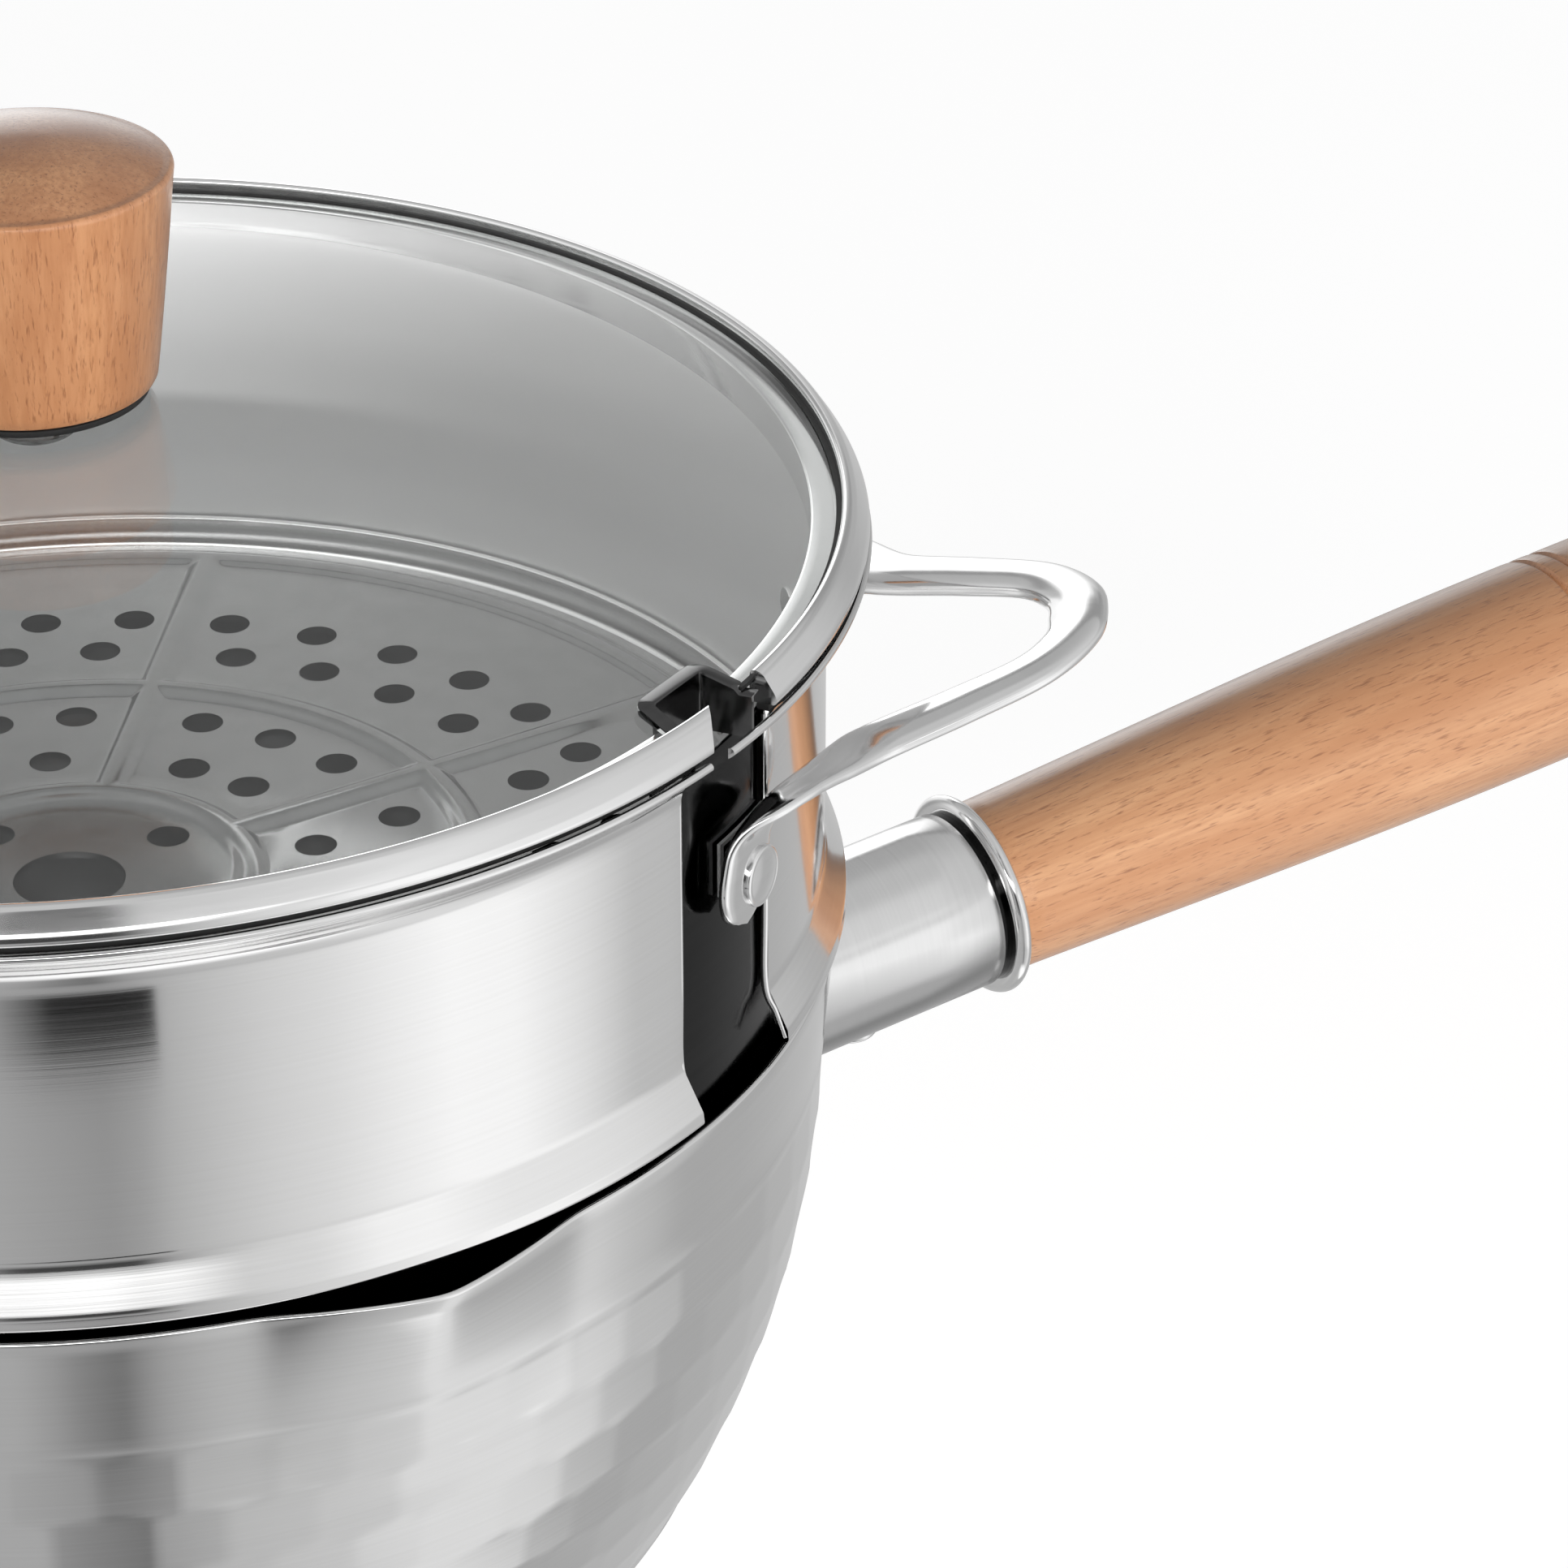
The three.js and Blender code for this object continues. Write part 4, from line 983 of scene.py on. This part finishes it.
def linerShape():
    # A sheet folded round three sides of the notch; the path runs in from the rim, across and out again.
    slack, soft = lid["linerSlack"], lid["linerBend"]
    half, mouth, back = lid["notchHalf"][0] - slack, lid["notchHalf"][1] - slack, lid["notchBack"] + slack
    left = packed(np.linspace(lid["linerOut"], back + soft, 12), -np.linspace(mouth, half + 0.05, 12))
    bend = arcPoints((back + soft, -half + soft), (soft, soft), 264, 180, 8)[1:]
    middle = packed(back, np.linspace(-half + soft, half - soft, 5))[1:-1]
    path = np.vstack([left, bend, middle, (np.vstack([left, bend]) * [1, -1])[::-1]])
    along = unit(np.gradient(path, axis=0))
    inwards = packed(-along[:, 1], along[:, 0])
    inwards *= np.sign((inwards * (np.array([back + 4, 0]) - path)).sum(1))[:, None]
    flange, sheet = lid["linerFlange"], lid["linerSheet"]
    section = np.array([
        [0, 0], [sheet, 0], [sheet, 0.98], [sheet - 0.12, 1],
        [0.12 - flange, 1], [-flange, 0.99], [-flange, 0.965], [0, 0.965],
    ])
    out = np.hypot(*path.T)
    onGlass = glassHeight(np.minimum(out, lid["glassEdge"])) + 0.4
    top = np.where(out < lid["glassEdge"], onGlass, lid["linerTop"])
    height = lid["linerFoot"] + (top - lid["linerFoot"])[:, None] * section[None, :, 1]
    rows = np.concatenate([path[:, None] + inwards[:, None] * section[None, :, :1], height[..., None]], -1)
    return spun(swept(rows), lid["notchAngle"])


def notchOutline(inner, outer, spread=0.0):
    # The notch seen from above, wider at its mouth.
    half, mouth = (width + spread for width in lid["notchHalf"])
    return [[inner, -half], [inner, half], [outer, mouth], [outer, -mouth]]


def knobShape():
    # Bored foot, sides that widen upwards, a rounded edge and a low crown, turned round the axis.
    k = knob
    edge, soft = k["foot"] + k["side"], k["footRound"]
    radius = np.linspace(k["topRadius"] - 1.0, 0, 40)
    crown = packed(radius, edge + k["crown"] * (1 - (radius / k["topRadius"]) ** 2))
    start = [[0, k["foot"] + k["boreDepth"]], [k["bore"], k["foot"] + k["boreDepth"]], [k["bore"], k["foot"]]]
    foot = arcPoints((k["footRadius"] - soft, k["foot"] + soft), (soft, soft), -90, -7, 8)
    share = np.linspace(0.03, 0.985, 24)
    widening = k["footRadius"] + (k["topRadius"] - k["footRadius"]) * share ** 0.92
    side = packed(widening, k["foot"] + k["side"] * share)
    lip = arcPoints((k["topRadius"] - k["lip"], edge - 0.15), (k["lip"], k["lip"]), 5, 70, 8)
    return turned(np.vstack([start, foot, side, lip, crown]), k["steps"], False)


def knobScrewShape():
    # Domed head under the washer and a shank that ends in the insert.
    f = fixing
    headTop = glassTop - lid["glassThickness"] - f["washerHeight"] - 2 * f["slack"]
    middle = headTop - f["screwHeadHeight"] + f["screwDome"]
    dome = arcPoints((0, middle), (f["screwHead"], f["screwDome"]), -90, 0, 14)
    tip, soft = knob["foot"] + f["reach"], f["screwTip"]
    shank = [
        [f["screwHead"], headTop], [f["screw"], headTop], [f["screw"], tip - soft], [f["screw"] - soft, tip],
        [0, tip],
    ]
    return turned(np.vstack([dome, shank]), 48, False)


def sleeveShape(outer, foot, height):
    # A ring round the screw.
    inner = fixing["screw"] + fixing["slack"]
    return turned(roundCorners(box(inner, outer, foot, foot + height), 0.25), 72)


glass = makePiece("lidGlass", glassShape(), "lid_glass", clearGlass, 40)
glassNotch = notchOutline(lid["notchBack"] - 0.5, lid["glassCut"], 0.5)
cutAway(glass, upright(glassNotch, *throughLid, lid["notchAngle"]), 40)
band = makePiece("lidBand", rimShape(), "lid_rim", brightSteel)
cutAway(band, upright(notchOutline(*lid["skirtCut"], 0.2), throughLid[0], lid["skirtCutTop"], lid["bandAngle"]))
cutAway(band, upright(lid["bandCut"], lid["bandCutFoot"], throughLid[1], lid["bandAngle"]))
seal = addPiece("glassSeal", sealShape(), "lid", silicone)
cutAway(seal, upright(notchOutline(*lid["sealCut"]), *throughLid, lid["notchAngle"]))
restRing = turned(roundCorners(box(*lid["rest"]), 0.2), lid["steps"])
restSeal = addPiece("restSeal", restRing, "lid", silicone)
cutAway(restSeal, upright(notchOutline(*lid["restCut"], 1.0), *throughLid, lid["bandAngle"]))
makePiece("notchLiner", linerShape(), "notch_liner", linerSteel, 40)
makePiece("woodKnob", knobShape(), "lid_knob", knobWood, 40)
makePiece("knobScrew", knobScrewShape(), "knob_screw", brightSteel)
washerFoot = glassTop - lid["glassThickness"] - fixing["washerHeight"] - fixing["slack"]
insertFoot, gasketFoot = knob["foot"] + fixing["slack"], glassTop + fixing["slack"]
for name, node, outer, foot, height, finish in (
    ("knobInsert", "knob_insert", "insert", insertFoot, "insertLength", brass),
    ("knobGasket", "knob_gasket", "gasket", gasketFoot, "gasketHeight", silicone),
    ("knobWasher", "knob_washer", "washer", washerFoot, "washerHeight", brightSteel),
):
    makePiece(name, sleeveShape(fixing[outer], foot, fixing[height]), node, finish)
print("lid made")

# Stage: pale floor that keeps the shadow, and a studio whose light and shade reflections see by direction

stage = dict(
    floor=6.0, floorShadow=0.28, floorWhite=1.25, peak=5.0, overhead=0.62, overheadFrom=(0.86, 0.95),
    softFront=(1.5, 0.7), softTop=(1.0, 0.1),  # soft light before and behind the pan, level and from above
    down=(  # direction in degrees round the pan, brightness of the table straight below
        (-180, 0.6), (-140, 1.2), (-110, 1.3), (-40, 1.4), (-20, 0.9), (0, 0.5), (90, 0.5), (180, 0.6),
    ),
    steep=(  # the same, for the table close to the pan
        (-180, 0.5), (-127, 0.47), (-121, 0.38), (-117, 0.29), (-110, 0.20), (-106, 0.34), (-103, 0.42),
        (-96, 0.53), (-86, 0.62), (-77, 0.66), (-66, 0.72), (-54, 0.86), (-42, 0.88), (-29, 0.84),
        (-18, 0.62), (-8, 0.48), (0, 0.46), (14, 0.50), (30, 0.53), (60, 0.55), (180, 0.5),
    ),
    low=(  # the same, for what lies below the horizon
        (-180, 0.55), (-140, 0.52), (-126, 0.45), (-117, 0.40), (-110, 0.36), (-105, 0.42), (-101, 0.53),
        (-94, 0.645), (-86, 0.765), (-77, 0.87), (-67, 1.04), (-57, 1.18), (-46, 1.15), (-33, 0.89),
        (-23, 0.63), (-14, 0.60), (-6, 0.48), (10, 0.48), (30, 0.54), (60, 0.6), (68, 0.95), (84, 0.98),
        (96, 0.75), (105, 0.42), (113, 0.40), (122, 0.68), (140, 0.85), (160, 0.7), (180, 0.55),
    ),
    level=(  # the same, a little above the horizon
        (-180, 0.9), (-140, 0.5), (-128, 0.30), (-123, 0.06), (-107, 0.06), (-103, 0.40), (-98, 0.585),
        (-90, 0.765), (-83, 0.86), (-74, 1.12), (-66, 1.15), (-55, 1.0), (-43, 0.95), (-35, 0.88),
        (-28, 0.8), (-15, 0.7), (5, 0.62), (20, 0.45), (46, 0.5), (54, 0.8), (60, 1.4), (66, 2.1),
        (72, 2.3), (76, 1.6), (80, 1.15), (96, 1.0), (106, 0.5), (114, 0.5), (124, 0.9), (180, 0.9),
    ),
    middle=(  # the same, a little higher
        (-180, 1.2), (-150, 1.8), (-128, 2.4), (-112, 2.4), (-101, 1.8), (-93, 0.9), (-83, 0.8),
        (-70, 0.86), (-43, 0.8), (-20, 0.7), (20, 0.45), (46, 0.35), (54, 0.6), (60, 1.2), (66, 1.9),
        (72, 2.1), (76, 1.2), (80, 0.55), (110, 0.6), (180, 1.2),
    ),
    front=(  # the same, for a soft lamp before the pan that reaches the inside through the lid, dark behind it
        (-180, 1.6), (-157, 3.6), (-127, 4.9), (-112, 4.4), (-97, 2.6), (-84, 1.1), (-74, 1.0), (-40, 0.75),
        (0, 0.6), (40, 0.35), (67, 0.3), (92, 0.36), (130, 0.7), (172, 1.1), (180, 1.6),
    ),
    high=(  # the same, half way up
        (-180, 0.8), (-128, 0.66), (-122, 0.2), (-108, 0.2), (-103, 0.64), (-65, 0.85), (-40, 0.72),
        (0, 0.68), (40, 0.55), (67, 0.45), (110, 0.55), (150, 0.8), (180, 0.8),
    ),
    starts=dict(  # slope of the direction from which each of them takes over from the one before
        steep=(-0.95, -0.90), low=(-0.70, -0.60), level=(-0.22, -0.02), middle=(0.28, 0.36),
        front=(0.425, 0.45), high=(0.525, 0.55),
    ),
    flag=dict(start=-125.0, stop=-103.5, fade=9.0, near=0.283, full=0.287, far=0.325, height=0.001, steps=24),
)
keyLight = dict(place=(-0.1, -1.4, 0.35), aim=(0.05, 0, 0.1), size=0.9, power=16.5)
view = dict(place=(-0.214898, -0.518810, 0.418438), turn=(60.618, 0.0, -31.12), lens=125.413, sensor=36.0)


def studioRamp(tree, turn, levels):
    # Brightness by direction round the Z axis, as shares of the peak.
    ramp = add(tree, "ValToRGB", {"Fac": turn})
    steps = ramp.color_ramp.elements
    while len(steps) < len(levels):
        steps.new(0.5)
    for step, (angle, _) in zip(steps, levels):
        step.position = (angle + 180) / 360
    for step, (_, level) in zip(sorted(steps, key=lambda made: made.position), levels):
        step.color = (level / stage["peak"],) * 3 + (1,)
    return ramp.outputs["Color"]


def stagePiece(name, points, faces, finish):
    mesh = bpy.data.meshes.new(name)
    mesh.from_pydata(points, [], faces)
    mesh.materials.append(finish)
    piece = linked(name, mesh)
    return piece


def floorFinish():
    # The camera sees the floor mostly white, soft light sees it pale, and reflections look past it.
    finish, tree, shader, where, out = newFinish("paleFloor")
    mottled = mixColour(tree, noise(tree, where, 30.0, 3.0), grey(0.86), grey(0.88))
    tree.links.new(mottled, shader.inputs["Base Color"])
    shader.inputs["Roughness"].default_value = 0.8
    shader.inputs["Specular IOR Level"].default_value = 0.1
    white = feed(tree, "Emission", {"Color": (1, 1, 1, 1), "Strength": stage["floorWhite"]})
    seen, rays = cameraSees(tree)
    pale = mixShader(tree, worked(tree, "MULTIPLY", seen, 1 - stage["floorShadow"]), shader.outputs[0], white)
    past = feed(tree, "BsdfTransparent")
    tree.links.new(mixShader(tree, rays["Is Glossy Ray"], pale, past), out.inputs["Surface"])
    return finish


def flagFinish(flag):
    # Dark cloth that only reflections see, fading in from its near and left edges.
    finish, tree, shader, where, out = newFinish("darkFlag")
    tree.nodes.remove(shader)
    place = axes(tree, where)
    turn = worked(tree, "ARCTAN2", place["Y"], place["X"])
    reach = add(tree, "VectorMath", {0: where}, operation="LENGTH").outputs["Value"]
    inFrom = ranged(tree, turn, 0, 1, math.radians(flag["start"]), math.radians(flag["start"] + flag["fade"]))
    shown = worked(tree, "MULTIPLY", inFrom, ranged(tree, reach, 0, 1, flag["near"], flag["full"]))
    dark = feed(tree, "Emission", {"Strength": 0.0})
    past = feed(tree, "BsdfTransparent")
    tree.links.new(mixShader(tree, shown, past, dark), out.inputs["Surface"])
    return finish


span, flag = stage["floor"], stage["flag"]
floorPoints = [(x, y, 0) for x, y in box(-span, span, -span, span)]
stagePiece("floor", floorPoints, [(0, 1, 2, 3)], floorFinish())
flagTurn = np.radians(np.linspace(flag["start"], flag["stop"], flag["steps"]))
flagPoints = carriedRound(flagTurn, np.array([flag["far"], flag["near"]]), flag["height"]).reshape(-1, 3)
frontFlag = stagePiece("frontFlag", flagPoints.tolist(), gridFaces(flag["steps"], 2), flagFinish(flag))
for rayKind in ("camera", "diffuse", "transmission", "shadow"):
    setattr(frontFlag, "visible_" + rayKind, False)

world = bpy.data.worlds.new("studio")
bpy.context.scene.world = world
world.use_nodes = True
sky = world.node_tree
sky.nodes.clear()
towards = axes(sky, add(sky, "TexCoord").outputs["Generated"])
turn = worked(sky, "MULTIPLY_ADD", worked(sky, "ARCTAN2", towards["Y"], towards["X"]), 1 / (2 * math.pi), 0.5)
shade = studioRamp(sky, turn, stage["down"])
for key, (start, stop) in stage["starts"].items():
    above = ranged(sky, towards["Z"], 0, 1, start, stop)
    shade = mixColour(sky, above, shade, studioRamp(sky, turn, stage[key]))
top = ranged(sky, towards["Z"], 0, 1, *stage["overheadFrom"])
shade = mixColour(sky, top, shade, grey(stage["overhead"] / stage["peak"]))
front = ranged(sky, towards["Y"], *stage["softFront"], -0.8, 0.8)
overhead = ranged(sky, towards["Z"], *stage["softTop"], 0.0, 0.6)
mirrored, soft, plain = (
    feed(sky, "Background", {"Color": colour, "Strength": strength})
    for colour, strength in (
        (shade, stage["peak"]), ((1, 1, 1, 1), worked(sky, "MULTIPLY", front, overhead)), ((1, 1, 1, 1), 1.0),
    )
)
seen, rays = cameraSees(sky)
shown = mixShader(sky, rays["Is Glossy Ray"], mixShader(sky, seen, soft, plain), mirrored)
add(sky, "OutputWorld", {"Surface": shown})

light = bpy.data.lights.new("keyLight", "AREA")
light.shape, light.size, light.energy = "DISK", keyLight["size"], keyLight["power"]
lamp = linked("keyLight", light)
lamp.location = keyLight["place"]
lampAim = Vector(keyLight["aim"]) - Vector(keyLight["place"])
lamp.rotation_euler = lampAim.to_track_quat("-Z", "Y").to_euler()
lamp.visible_camera = lamp.visible_glossy = lamp.visible_transmission = False

camera = linked("camera", bpy.data.cameras.new("camera"))
camera.location = view["place"]
camera.rotation_euler = [math.radians(angle) for angle in view["turn"]]
camera.data.lens, camera.data.sensor_width = view["lens"], view["sensor"]
camera.data.clip_start, camera.data.clip_end = 0.01, 50.0
bpy.context.scene.camera = camera
bpy.context.scene.view_settings.view_transform = "Standard"
print("stage ready")
